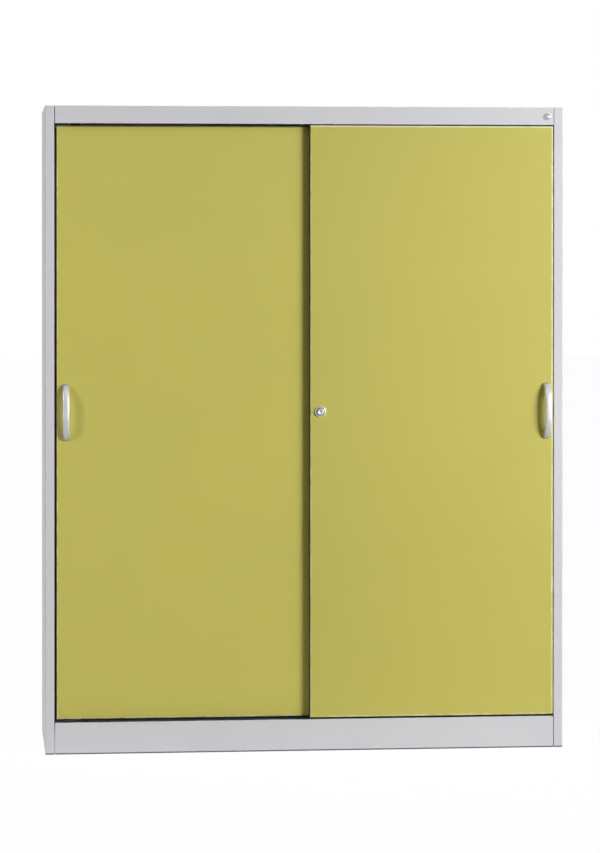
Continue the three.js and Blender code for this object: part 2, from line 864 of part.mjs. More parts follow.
function buildDoor(door) {
  const group = new THREE.Group()
  const { name } = door
  const middle = doorThickness / 2
  group.position.set(door.x, door.setback, doorBottomHeight)
  add(group, `${name}_pan`, doorPan(door), limePaint)
  add(group, `${name}_stiffener`, stiffener(), zinc, 0, 0, stiffenerEndGap)
  add(group, `${name}_handle`, bowHandle(), silverPaint, door.handleX, 0, handleLevel)
  for (const [place, sign] of [['lower', -1], ['upper', 1]]) {
    const z = handleLevel + sign * handleScrewSpacing / 2
    add(group, `${name}_handle_screw_${place}`, handleScrew(), zinc, door.handleX, 0, z)
  }
  const places = carriagePlaces(door)
  for (const [index, side] of ['left', 'right'].entries()) {
    const sign = 2 * index - 1
    add(group, `${name}_carriage_${side}`, rollerCarriage(), zinc, places[index])
    add(group, `${name}_wheel_${side}`, grooveWheel(), blackNylon, places[index], middle, axleHeight - doorBottomHeight)
    add(group, `${name}_guide_${side}`, topGuide(), blackNylon, sign * (door.width / 2 - guideInset), middle, doorHeight)
  }
  return group
}

function buildLock(frontDoor, rearDoor) {
  const place = [frontDoorSpec.lockX, 0, handleLevel]
  add(frontDoor, 'lock_barrel', lockBarrel(), chrome, ...place)
  add(frontDoor, 'lock_nut', lockNut(), zinc, ...place)
  add(frontDoor, 'lock_plunger', lockPlunger(), chrome, ...place)
  add(frontDoor, 'lock_key_core', keyCore(), chrome, ...place)
  const keeperX = frontDoorSpec.x + frontDoorSpec.lockX - rearDoorSpec.x
  add(rearDoor, 'lock_keeper', keeper(), zinc, keeperX, 0, handleLevel)
}

function doorSpec(name, left, right, setback) {
  return { name, setback, width: right - left, x: (left + right) / 2 }
}

const frontDoorSpec = doorSpec('front_door', frontDoorLeftEdge, frontDoorRightEdge, frontDoorSetback)
frontDoorSpec.handleX = frontDoorSpec.width / 2 - frontHandleInset
frontDoorSpec.lockX = -frontDoorSpec.width / 2 + lockInset

const rearDoorSpec = doorSpec('rear_door', rearDoorLeftEdge, rearDoorRightEdge, rearDoorSetback)
rearDoorSpec.handleX = -rearDoorSpec.width / 2 + rearHandleInset

// The frame's front plane stands behind the origin's plane by half the depth less what the handle stands proud
const handleProud = handleReach - frontDoorSetback
const cabinet = new THREE.Group()
cabinet.position.y = (handleProud - cabinetDepth) / 2
buildCarcass(cabinet)
buildTracks(cabinet)
buildInterior(cabinet)
buildFeet(cabinet)
const frontDoor = buildDoor(frontDoorSpec)
const rearDoor = buildDoor(rearDoorSpec)
buildLock(frontDoor, rearDoor)
cabinet.add(frontDoor, rearDoor)

export default cabinet
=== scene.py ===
import json
import math
import bmesh
import bpy
import numpy as np
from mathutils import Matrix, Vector

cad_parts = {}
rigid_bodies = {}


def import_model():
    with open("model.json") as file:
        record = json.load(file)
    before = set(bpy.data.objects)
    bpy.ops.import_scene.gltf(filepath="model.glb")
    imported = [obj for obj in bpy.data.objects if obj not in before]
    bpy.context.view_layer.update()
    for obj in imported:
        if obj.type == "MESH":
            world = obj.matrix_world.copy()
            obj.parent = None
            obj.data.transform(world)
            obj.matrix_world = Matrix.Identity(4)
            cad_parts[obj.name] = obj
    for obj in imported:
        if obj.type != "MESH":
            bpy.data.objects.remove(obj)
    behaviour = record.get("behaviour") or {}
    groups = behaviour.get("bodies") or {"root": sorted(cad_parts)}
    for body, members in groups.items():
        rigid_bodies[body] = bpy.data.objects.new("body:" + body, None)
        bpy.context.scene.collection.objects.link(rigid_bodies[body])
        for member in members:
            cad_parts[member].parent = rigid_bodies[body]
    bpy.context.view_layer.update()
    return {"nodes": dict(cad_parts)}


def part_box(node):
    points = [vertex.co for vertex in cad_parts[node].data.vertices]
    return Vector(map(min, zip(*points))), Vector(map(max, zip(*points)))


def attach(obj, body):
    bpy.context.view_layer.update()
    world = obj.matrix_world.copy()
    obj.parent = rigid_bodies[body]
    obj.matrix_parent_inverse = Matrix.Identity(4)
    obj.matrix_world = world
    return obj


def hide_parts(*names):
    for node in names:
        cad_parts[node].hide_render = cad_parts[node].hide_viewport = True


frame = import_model()
nodes = frame["nodes"]
sides, ends, doors = ("left", "right"), ("front", "rear"), ("front_door", "rear_door")


# Measures. Every shape below is worked out in millimetres and goes into its mesh in metres.

def span(node):  # a node's lowest and highest corner, in millimetres
    low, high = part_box(node)
    return np.array(low) * 1000, np.array(high) * 1000


def middleOf(node):
    return sum(span(node)) / 2


frontPlane = span("side_panel_left")[0][1]  # the frame's front face in Y
sheetSteel = {"thickness": 1.0, "bend": 2.0, "bendSteps": 6, "guard": 0.5}
halfSheet = sheetSteel["thickness"] / 2  # from a sheet's face to its middle line


# Surfaces

# A skin over closed loops: row i joins row i + 1 point by point, each row runs round to its own start,
# and the first and last rows are closed by a flat face, or joined to each other if the skin is a ring.
def loft(rows, mask=0.0, ring=False):
    rows = np.asarray(rows, float)
    count, across = rows.shape[:2]
    index = np.arange(count * across).reshape(count, across)
    later = np.roll(index, -1, axis=1)
    near, far = (index, np.roll(index, -1, axis=0)) if ring else (index[:-1], index[1:])
    nearNext, farNext = (later, np.roll(later, -1, axis=0)) if ring else (later[:-1], later[1:])
    faces = np.stack([near, nearNext, farNext, far], axis=-1).reshape(-1, 4).tolist()
    if not ring:
        faces += [index[0][::-1].tolist(), index[-1].tolist()]
    return rows.reshape(-1, 3), faces, np.broadcast_to(mask, (count, across)).reshape(-1)


# A line with rounded corners: at each corner an arc whose tangent length is radius * tan(half the turn),
# with a guard point on the straight run at both ends of it. Gives points, left-hand normals and a bend mask.
def foldLine(corners, radius, steps=6, guard=0.5, closed=False):
    corners = np.array(corners, float)
    count = len(corners)
    radii = np.broadcast_to(radius, count)
    left = lambda way: np.stack([-way[..., 1], way[..., 0]], axis=-1)
    unit = lambda way: way / np.linalg.norm(way)
    points, normals, bends = [], [], []
    for i in range(count):
        if not closed and i in (0, count - 1):
            way = unit(corners[1] - corners[0]) if i == 0 else unit(corners[-1] - corners[-2])
            points.append(corners[i][None])
            normals.append(left(way)[None])
            bends.append(np.zeros(1))
            continue
        before, after = unit(corners[i] - corners[i - 1]), unit(corners[(i + 1) % count] - corners[i])
        turn = math.atan2(before[0] * after[1] - before[1] * after[0], before @ after)
        side = math.copysign(1.0, turn)
        centre = corners[i] - before * radii[i] * math.tan(abs(turn) / 2) + left(before) * side * radii[i]
        angles = np.linspace(0, turn, steps + 1)[:, None]
        spokes = left(before) * np.cos(angles) + left(left(before)) * np.sin(angles)
        arc = centre - spokes * side * radii[i]
        points.append(np.vstack([arc[:1] - before * guard, arc, arc[-1:] + after * guard]))
        normals.append(np.vstack([spokes[:1], spokes, spokes[-1:]]))
        bends.append(np.concatenate([[0], np.ones(steps + 1), [0]]))
    return np.vstack(points), np.vstack(normals), np.concatenate(bends)


# A rounded rectangle as a closed line from its two corners, with the same number of points at any size
def roundedLoop(x0, x1, y0, y1, radius, steps=6, guard=0.4):
    corners = [[x0, y0], [x1, y0], [x1, y1], [x0, y1]]
    return foldLine(corners, max(radius, 0.05), steps, guard, closed=True)[0::2]


# A folded sheet: its middle line in a plane, half the thickness out on both sides, carried straight from
# start to end. Over its last stretch it curls inwards along a quarter circle, e = r - sqrt(r^2 - (r - s)^2).
def foldedSheet(corners, start, end, place, outwards=1, bend=sheetSteel["bend"], curl=0.0, curlSteps=4):
    line, normals, bends = foldLine(corners, np.array(bend) - halfSheet, sheetSteel["bendSteps"],
                                    sheetSteel["guard"])
    into = np.concatenate([curl * (1 - np.cos(np.linspace(0, math.pi / 2, curlSteps + 1))), [curl + 0.5]]) \
        if curl else np.array([0.0])
    drop = np.where(into < curl, curl - np.sqrt(np.maximum(curl ** 2 - (curl - into) ** 2, 0)), 0)
    stations = np.concatenate([start + into, (end - into)[::-1]])
    drops = np.concatenate([drop, drop[::-1]])
    rows, masks = [], []
    for station, fall in zip(stations, drops):
        outer = line + normals * outwards * (halfSheet - fall)
        inner = line - normals * outwards * (halfSheet + fall)
        section = np.vstack([outer, inner[::-1]])
        rows.append(place(section[:, 0], section[:, 1], np.full(len(section), station)))
        masks.append(np.maximum(np.concatenate([bends, bends[::-1]]), float(fall > 0)))
    return loft(rows, np.array(masks))


alongX = lambda across, up, s: np.stack([s, across, up], axis=-1)
alongZ = lambda across, up, s: np.stack([across, up, s], axis=-1)


# A pan: rounded rectangles, each set in and set back, that run from the middle of the face round the front
# bend, down the sides, round the back bend to the lip's edge, and back along the inside
def pan(x0, x1, y0, y1, depth, frontBend, backBend, lip, corner, place, steps=8):
    t = sheetSteel["thickness"]
    flat, square = frontBend + 8, 16  # how far in the face's own loop lies, and where its corners are square
    outer = foldLine([[flat, 0], [0, 0], [0, depth], [lip, depth]], [0, frontBend, backBend, 0], steps)
    inner = foldLine([[lip, depth - t], [t, depth - t], [t, t], [flat, t]],
                     [0, backBend - t, frontBend - t, 0], steps)
    stations = np.vstack([outer[0], inner[0]])
    masks = np.concatenate([outer[2], inner[2]])
    rows = []
    for setIn, back in stations:
        loop = roundedLoop(x0 + setIn, x1 - setIn, y0 + setIn, y1 - setIn, corner * (1 - setIn / square))[0]
        rows.append(place(loop[:, 0], loop[:, 1], np.full(len(loop), back)))
    return loft(rows, masks[:, None])


# Radii and places along Y, turned about it: x = radius cos a, z = radius sin a
def lathe(radii, along, centre, steps):
    angles = np.linspace(0, 2 * math.pi, steps, endpoint=False)
    return np.stack([centre[0] + radii * np.cos(angles), centre[1] + along + 0 * angles,
                     centre[2] + radii * np.sin(angles)], axis=-1)


# A turned shape from the corners (radius, along) of its profile, each rounded
def turned(profile, centre, radius=0.0, steps=64, arcSteps=4, guard=0.15, ring=False):
    line, _, bends = foldLine(profile, radius, arcSteps, guard, closed=ring)
    return loft(lathe(line[:, :1], line[:, 1:], centre, steps), bends[:, None], ring)


def borer(radius, start, end, centre, steps=64):  # a round cutter along Y
    return turned([[0.01, start], [radius, start], [radius, end], [0.01, end]], centre, 0.01, steps)


def stoodUp(shell, shift):  # a shape turned about Y set upright, then moved
    points, faces, mask = shell
    return points[:, [0, 2, 1]] + np.array(shift), faces, mask


# A box's outline from above, set in and rounded, at a height
def levelLoop(low, high, setIn, z, radius, steps=6, guard=0.4):
    left, right, front, back = low[0] + setIn, high[0] - setIn, low[1] + setIn, high[1] - setIn
    line = roundedLoop(left, right, front, back, radius, steps, guard)[0]
    return alongZ(*line.T, np.full(len(line), z))


# A block with rounded upright edges and rounded rims: rounded rectangles set in by r - r sin a
# at height r - r cos a
def block(low, high, radius, steps=4):
    angles = np.linspace(0, math.pi / 2, steps + 1)
    setIn, rise = radius - radius * np.sin(angles), radius - radius * np.cos(angles)
    setIns = np.concatenate([setIn, setIn[::-1]])
    heights = np.concatenate([low[2] + rise, (high[2] - rise)[::-1]])
    return loft([levelLoop(low, high, i, z, radius - i + 0.05, steps, 0.1) for i, z in zip(setIns, heights)])


# Pieces

def meshOf(name, shells):
    offsets = np.cumsum([0] + [len(points) for points, _, _ in shells[:-1]])
    points = np.vstack([part for part, _, _ in shells]) * 0.001
    faces = [[corner + int(offset) for corner in face]
             for (_, part, _), offset in zip(shells, offsets) for face in part]
    mesh = bpy.data.meshes.new(name)
    mesh.from_pydata(points.tolist(), [], faces)
    bend = mesh.attributes.new("bend", "FLOAT", "POINT")
    bend.data.foreach_set("value", np.concatenate([mask for _, _, mask in shells]).astype(np.float32))
    work = bmesh.new()
    work.from_mesh(mesh)
    bmesh.ops.recalc_face_normals(work, faces=work.faces)
    work.to_mesh(mesh)
    work.free()
    return mesh


def newObject(name, data):
    thing = bpy.data.objects.new(name, data)
    bpy.context.scene.collection.objects.link(thing)
    return thing


# A piece that stands for a CAD node. Cutters are closed shells whose space is taken out of it.
def makePiece(name, shells, body, slotName, node, cutters=(), sharp=32, finish=None):
    piece = newObject(name, meshOf(name, shells))
    if cutters:
        tool = newObject(name + "_tool", meshOf(name + "_tool", cutters))
        cut = piece.modifiers.new("cut", "BOOLEAN")
        cut.operation, cut.solver, cut.object = "DIFFERENCE", "EXACT", tool
        bpy.context.view_layer.update()
        result = bpy.data.meshes.new_from_object(piece.evaluated_get(bpy.context.evaluated_depsgraph_get()))
        piece.modifiers.clear()
        piece.data = result
        bpy.data.objects.remove(tool)
    mesh = piece.data
    mesh.polygons.foreach_set("use_smooth", np.ones(len(mesh.polygons), bool))
    mesh.set_sharp_from_angle(angle=math.radians(sharp))
    mesh.materials.clear()
    mesh.materials.append(finishes[finish or slotName])
    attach(piece, body)
    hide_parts(node)


# Material groups

def feed(tree, socket, value):  # an input linked to another node's output, or set to a plain value
    if isinstance(value, bpy.types.NodeSocket):
        tree.links.new(value, socket)
    else:
        socket.default_value = value


def addNode(tree, kind, given=None, **values):  # a node with its settings, and its inputs fed by name
    node = tree.nodes.new("ShaderNode" + kind)
    for key, value in values.items():
        setattr(node, key, value)
    for key, value in (given or {}).items():
        feed(tree, node.inputs[key], value)
    return node


def mapped(tree, value, low, high, toLow, toHigh):  # a value's range moved to another, held at both ends
    return addNode(tree, "MapRange", {"Value": value, "From Min": low, "From Max": high,
                                      "To Min": toLow, "To Max": toHigh}).outputs["Result"]


def times(tree, a, b=0.0, operation="MULTIPLY"):  # two values multiplied, or worked out otherwise
    return addNode(tree, "Math", {0: a, 1: b}, operation=operation).outputs[0]


def noise(tree, where, scale, detail, **more):  # the scale is in grains per metre
    given = {"Vector": where, "Scale": scale, "Detail": detail, **more}
    return addNode(tree, "TexNoise", given).outputs["Fac"]


usualNoise = (0.3, 0.7)  # nearly all of a noise lies between these two

grainSettings = {"coarse": 0.27, "fineShare": 0.6, "slow": 2.3, "slowShare": 0.7, "speck": 1.9, "gloss": 0.03}


# Sprayed and baked paint: a fine pebbled height, a slow drift of tone and a drift of gloss
def paintGrain(tree, given):
    s, where = grainSettings, given["Vector"]
    scale = times(tree, 1000.0, given["Pebble Size"], "DIVIDE")
    fine = noise(tree, where, scale, 2.0, Roughness=0.45)
    coarse = noise(tree, where, times(tree, scale, s["coarse"]), 1.0)
    slow = noise(tree, where, s["slow"], 3.0, Roughness=0.55)
    speck = noise(tree, where, times(tree, scale, s["speck"]), 1.0)
    height = times(tree, times(tree, fine, s["fineShare"]), times(tree, coarse, 1 - s["fineShare"]), "ADD")
    most, rest = s["slowShare"], 1 - s["slowShare"]
    drift = times(tree, mapped(tree, slow, *usualNoise, -most, most),
                  mapped(tree, speck, *usualNoise, -rest, rest), "ADD")
    return {"Height": height, "Tone": times(tree, times(tree, drift, given["Drift"]), 1.0, "ADD"),
            "Gloss Drift": mapped(tree, slow, *usualNoise, -s["gloss"], s["gloss"])}


wearAndHighlightSettings = {"patches": 28.0, "maskRamp": (0.42, 0.66), "least": 0.15}


# Paler folds and rims: the bend mask broken up by noise, partly patchy wear and partly a painted highlight
# where the folds catch light
def foldWearAndHighlight(tree, given):
    s = wearAndHighlightSettings
    patches = noise(tree, given["Vector"], s["patches"], 4.0, Roughness=0.6)
    broken = times(tree, given["Bend"], mapped(tree, patches, *s["maskRamp"], s["least"], 1.0))
    return {"Mask": times(tree, broken, given["Amount"])}


dustSettings = {"patches": 9.0, "facingUp": (0.75, 1.0), "thick": (0.35, 0.7), "least": 0.3}


# Dust that lies where the surface faces up, thicker in soft patches
def dust(tree, given):
    s = dustSettings
    facing = addNode(tree, "SeparateXYZ", {0: addNode(tree, "NewGeometry").outputs["Normal"]}).outputs["Z"]
    patches = noise(tree, given["Vector"], s["patches"], 5.0, Roughness=0.6)
    lying = times(tree, mapped(tree, facing, *s["facingUp"], 0.0, 1.0),
                  mapped(tree, patches, *s["thick"], s["least"], 1.0))
    return {"Mask": times(tree, lying, given["Amount"])}


lineSettings = {"gloss": 0.05, "smears": 40.0, "smeared": (0.35, 0.65), "smearGloss": (-0.03, 0.05)}


# Fine lines left by polishing: noise stretched along one direction
def drawnLines(tree, given):
    s = lineSettings
    stretched = addNode(tree, "VectorMath", {0: given["Vector"], 1: given["Stretch"]}, operation="MULTIPLY")
    lines = noise(tree, stretched.outputs[0], 1.0, 3.0, Roughness=0.6)
    smears = noise(tree, given["Vector"], s["smears"], 3.0)
    drift = times(tree, mapped(tree, lines, *usualNoise, -s["gloss"], s["gloss"]),
                  mapped(tree, smears, *s["smeared"], *s["smearGloss"]), "ADD")
    return {"Height": lines, "Gloss Drift": drift}


# Where the painted shade lies, in metres: each pair is where it starts and where it is full, or the other way
# round
seamShadeSettings = {"seam": 0.7715, "reach": (0.0004, 0.0019), "railLow": (1.925, 1.926), "railShare": 0.5,
                 "plinthHigh": (0.097, 0.098), "plinthShare": 0.8, "leftHalf": (-0.01, 0.0),
                 "foot": (0.0025, 0.006)}


# Painted shade in the seams of the sides with the rail and the plinth, and a painted shadow along the frame's
# foot. A seam lies at a set distance |x| from the middle, above the rail's lower edge, below the plinth's
# upper edge, and in the left half all the way up, where it is the shaded gap at the edge of the left stile.
def paintedSeamShade(tree, given):
    s = seamShadeSettings
    place = addNode(tree, "SeparateXYZ", {0: given["Vector"]})
    x, height = place.outputs["X"], place.outputs["Z"]
    away = times(tree, times(tree, x, operation="ABSOLUTE"), s["seam"], "SUBTRACT")
    away = times(tree, away, operation="ABSOLUTE")
    zone = times(tree, mapped(tree, height, *s["railLow"], 0.0, s["railShare"]),
                 mapped(tree, height, *s["plinthHigh"], s["plinthShare"], 0.0), "ADD")
    zone = times(tree, zone, mapped(tree, x, *s["leftHalf"], 1.0, 0.0), "MAXIMUM")
    seam = times(tree, mapped(tree, away, *s["reach"], 1.0, 0.0), zone)
    mask = times(tree, seam, mapped(tree, height, *s["foot"], 1.0, 0.0), "MAXIMUM")
    return {"Mask": times(tree, mask, given["Amount"])}


# A group from its inputs, which are a float or a vector, and the function that makes its outputs from them
def makeGroup(build, inputs):
    tree = bpy.data.node_groups.new(build.__name__, "ShaderNodeTree")
    for label, value in inputs.items():
        kind = "NodeSocketFloat" if isinstance(value, float) else "NodeSocketVector"
        tree.interface.new_socket(label, in_out="INPUT", socket_type=kind).default_value = value
    made = build(tree, tree.nodes.new("NodeGroupInput").outputs)
    for label in made:
        tree.interface.new_socket(label, in_out="OUTPUT", socket_type="NodeSocketFloat")
    out = tree.nodes.new("NodeGroupOutput")
    for label, value in made.items():
        tree.links.new(value, out.inputs[label])
    return tree


groups = {build.__name__: makeGroup(build, {"Vector": (0.0, 0.0, 0.0), **inputs}) for build, inputs in (
    (paintGrain, {"Pebble Size": 1.3, "Drift": 0.03}), (foldWearAndHighlight, {"Bend": 0.0, "Amount": 0.3}),
    (dust, {"Amount": 0.2}), (drawnLines, {"Stretch": (900.0, 900.0, 25.0)}), (paintedSeamShade, {"Amount": 0.5}))}


def placeGroup(tree, name, **values):
    node = addNode(tree, "Group", node_tree=groups[name])
    for key, value in values.items():
        feed(tree, node.inputs[key], value)
    return node.outputs


# Finishes

def linear(code):  # a colour as it is written for a screen, made linear
    share = np.array([int(code[i:i + 2], 16) for i in (0, 2, 4)]) / 255
    return tuple(np.where(share <= 0.04045, share / 12.92, ((share + 0.055) / 1.055) ** 2.4)) + (1.0,)


def newMaterial(name, fixed):
    material = bpy.data.materials.new(name)
    material.use_nodes = True
    tree = material.node_tree
    shader = tree.nodes["Principled BSDF"]
    for key, value in fixed.items():
        shader.inputs[key].default_value = value
    return material, tree, shader, addNode(tree, "TexCoord").outputs["Object"]


def blendColour(tree, factor, first, second, blend="MIX"):
    node = tree.nodes.new("ShaderNodeMix")
    node.data_type, node.blend_type = "RGBA", blend
    a, b = [s for s in node.inputs if s.type == "RGBA" and s.enabled][:2]
    f = [s for s in node.inputs if s.type == "VALUE" and s.enabled][0]
    for socket, value in ((f, factor), (a, first), (b, second)):
        feed(tree, socket, value)
    return [s for s in node.outputs if s.type == "RGBA" and s.enabled][0]


def bendMask(tree):  # 1 on folds and rims, as the skins have it
    return addNode(tree, "Attribute", attribute_name="bend").outputs["Fac"]


# What every finish ends with: its colour, its roughness and a fine height
def finishOff(tree, shader, colour, roughness, height, s):
    bump = addNode(tree, "Bump", {"Height": height, "Strength": s["bump"], "Distance": s["bumpDepth"]})
    tree.links.new(colour, shader.inputs["Base Color"])
    tree.links.new(roughness, shader.inputs["Roughness"])
    tree.links.new(bump.outputs["Normal"], shader.inputs["Normal"])


# How far a surface has to face up or right for a painted highlight on an edge, or left for painted shade on
# it, and where the rear door's upper edge lies for the painted shadow of the rail: above a height and behind
# the front door, in metres
edgeSettings = {"up": (0.1, 0.45), "right": (0.2, 0.6), "rightShare": 0.5, "left": (-0.6, -0.2),
                "head": (1.9155, 1.9185), "behind": (-0.17, -0.168)}


# Painted steel: the paint's tone drifts a little, is paler over folds with patchy wear and a painted
# highlight, has a painted highlight on edges that face up or right, takes some dust where it faces up, and
# has painted shade in the seams, along the foot and on edges that face left, and a painted shadow on the rear
# door's upper edge
def paintMaterial(name, s):
    e = edgeSettings
    material, tree, shader, where = newMaterial(name, s["fixed"])
    grain = placeGroup(tree, "paintGrain", Vector=where, **{"Pebble Size": s["pebble"], "Drift": s["drift"]})
    facing = addNode(tree, "SeparateXYZ", {0: addNode(tree, "NewGeometry").outputs["Normal"]}).outputs
    place = addNode(tree, "SeparateXYZ", {0: where}).outputs
    wear = placeGroup(tree, "foldWearAndHighlight", Vector=where, Bend=bendMask(tree), Amount=s["wear"])["Mask"]
    # Surfaces that face up or right are made paler: a painted highlight
    rubbed = times(tree, mapped(tree, facing["Z"], *e["up"], 0.0, s["rubbed"]),
                   mapped(tree, facing["X"], *e["right"], 0.0, s["rubbed"] * e["rightShare"]), "MAXIMUM")
    dusty = placeGroup(tree, "dust", Vector=where, Amount=s["dust"])["Mask"]
    seamShadeMask = placeGroup(tree, "paintedSeamShade", Vector=where, Amount=s["grime"])["Mask"]
    # Surfaces that face left are darkened: painted shade
    edges = mapped(tree, facing["X"], *e["left"], s["edgeGrime"], 0.0)
    # The rear door's upper edge is darkened: a painted shadow of the rail
    head = times(tree, mapped(tree, place["Z"], *e["head"], 0.0, s["headGrime"]),
                 mapped(tree, place["Y"], *e["behind"], 0.0, 1.0))
    colour = blendColour(tree, 1.0, linear(s["colour"]), grain["Tone"], "MULTIPLY")
    colour = blendColour(tree, times(tree, wear, rubbed, "MAXIMUM"), colour, linear(s["fold"]))
    colour = blendColour(tree, dusty, colour, linear(s["dustColour"]))
    # One mask of painted shade: seams and foot, edges facing left, and the rear door's upper edge
    grime = times(tree, times(tree, seamShadeMask, edges, "MAXIMUM"), head, "MAXIMUM")
    colour = blendColour(tree, grime, colour, linear(s["grimeColour"]))
    roughness = times(tree, grain["Gloss Drift"], s["roughness"], "ADD")
    roughness = times(tree, roughness, times(tree, dusty, s["dustRoughness"]), "ADD")
    finishOff(tree, shader, colour, roughness, grain["Height"], s)
    return material


# Coated or plated metal: fine drawn lines in the gloss, a tone that drifts, and paler edges, a painted
# highlight broken up by patchy wear
def metalMaterial(name, s):
    material, tree, shader, where = newMaterial(name, s["fixed"])
    lines = placeGroup(tree, "drawnLines", Vector=where, Stretch=s["stretch"])
    drift = mapped(tree, noise(tree, where, s["cloud"], 3.0), *s["cloudRange"], 0.0, 1.0)
    colour = blendColour(tree, drift, linear(s["colour"]), linear(s["second"]))
    rubbed = placeGroup(tree, "foldWearAndHighlight", Vector=where, Bend=bendMask(tree), Amount=s["wear"])["Mask"]
    colour = blendColour(tree, rubbed, colour, linear(s["edge"]))
    roughness = times(tree, lines["Gloss Drift"], s["roughness"], "ADD")
    finishOff(tree, shader, colour, roughness, lines["Height"], s)
    return material


# Zinc-coated steel: the coat's crystals as cells, each with its own tone and gloss
def zincMaterial(name, s):
    material, tree, shader, where = newMaterial(name, s["fixed"])
    cells = addNode(tree, "TexVoronoi", {"Vector": where, "Scale": s["crystals"], "Randomness": 1.0})
    cell = addNode(tree, "SeparateColor", {0: cells.outputs["Color"]}).outputs[0]
    cloud = noise(tree, where, s["cloud"], 4.0)
    share = times(tree, times(tree, cell, s["cellShare"]), times(tree, cloud, s["cloudShare"]), "ADD")
    colour = blendColour(tree, share, linear(s["colour"]), linear(s["second"]))
    least, most = s["roughness"] - s["smoother"], s["roughness"] + s["rougher"]
    roughness = mapped(tree, share, *s["shareRange"], least, most)
    finishOff(tree, shader, colour, roughness, noise(tree, where, s["skin"], 2.0), s)
    return material


# Moulded plastic or rubber: a matt spark-eroded skin with faint flow clouds
def mouldedMaterial(name, s):
    material, tree, shader, where = newMaterial(name, s["fixed"])
    cloud = mapped(tree, noise(tree, where, s["cloud"], 3.0, Distortion=0.6), *usualNoise, 0.0, 1.0)
    colour = blendColour(tree, cloud, linear(s["colour"]), linear(s["second"]))
    skin = noise(tree, where, s["skin"], 2.0)
    roughness = mapped(tree, skin, *usualNoise, s["roughness"] - s["spread"], s["roughness"] + s["spread"])
    finishOff(tree, shader, colour, roughness, skin, s)
    return material


# What the finishes of a kind share, then each finish with the function that makes it
paint = {"fixed": {"IOR": 1.5, "Specular IOR Level": 0.25}, "pebble": 1.4, "drift": 0.02, "bump": 0.12,
         "bumpDepth": 0.00025, "dustRoughness": 0.4, "rubbed": 0.0, "edgeGrime": 0.0, "headGrime": 0.0}
metal = {"cloudRange": (0.35, 0.65), "bumpDepth": 0.0001}
zinc = {"fixed": {"Metallic": 0.85}, "crystals": 170.0, "cloud": 14.0, "cellShare": 0.6, "cloudShare": 0.5,
        "shareRange": (0.1, 0.9), "smoother": 0.07, "rougher": 0.1, "skin": 1500.0, "bump": 0.08,
        "bumpDepth": 0.0001}
moulding = {"fixed": {"IOR": 1.48, "Specular IOR Level": 0.2}, "spread": 0.06, "bumpDepth": 0.0002}
finishSettings = {
    "carcass_grey": (paintMaterial, {
        **paint, "colour": "d9d9df", "fold": "f1f1f4", "dustColour": "c9c7c0", "grimeColour": "2a2a2c",
        "roughness": 0.36, "wear": 0.6, "dust": 0.12, "grime": 0.95}),
    "interior_grey": (paintMaterial, {
        **paint, "colour": "c6c7cb", "fold": "d3d4d7", "dustColour": "c4c2bb", "grimeColour": "5a5a5c",
        "roughness": 0.45, "wear": 0.3, "dust": 0.15, "grime": 0.3}),
    "door_lime": (paintMaterial, {
        **paint, "colour": "cbc363", "fold": "fbf9d2", "dustColour": "cdc88e", "grimeColour": "3c2a10",
        "roughness": 0.36, "wear": 0.8, "dust": 0.1, "grime": 0.3, "rubbed": 1.0, "edgeGrime": 0.9,
        "headGrime": 0.85}),
    "handle_silver": (metalMaterial, {
        **metal, "fixed": {"Metallic": 0.5}, "colour": "c8c8ca", "second": "c0c0c2", "edge": "f2f2ec",
        "roughness": 0.42, "wear": 0.8, "cloud": 30.0, "stretch": (700.0, 700.0, 60.0), "bump": 0.1}),
    "lock_chrome": (metalMaterial, {
        **metal, "fixed": {"Metallic": 1.0}, "colour": "b8b8b2", "second": "a2a29c", "edge": "f4f4ec",
        "roughness": 0.18, "wear": 0.9, "cloud": 60.0, "stretch": (1400.0, 1400.0, 1400.0), "bump": 0.04}),
    "zinc_steel": (zincMaterial, {**zinc, "colour": "9ea2a6", "second": "c2c5c8", "roughness": 0.38}),
    # A near-black zinc whose dark tone stands in for the shade of the gaps it is seen through
    "black_zinc_steel": (zincMaterial, {**zinc, "colour": "37383b", "second": "4b4c50", "roughness": 0.55}),
    "black_nylon": (mouldedMaterial, {
        **moulding, "colour": "1c1c1e", "second": "252527", "roughness": 0.5, "cloud": 45.0, "skin": 1600.0,
        "bump": 0.15}),
    "black_rubber": (mouldedMaterial, {
        **moulding, "colour": "1f1f22", "second": "2b2b2e", "roughness": 0.78, "cloud": 60.0, "skin": 1100.0,
        "bump": 0.3}),
}
finishes = {name: make(name, settings) for name, (make, settings) in finishSettings.items()}
print("finishes made:", len(finishes))


# Carcass

sidePanelSettings = {"bend": 2.4, "topRound": 1.4, "topShare": 0.9, "topFlat": 0.6, "footRound": 3.0,
                     "footShare": 0.7, "guard": 0.4, "square": 0.4}


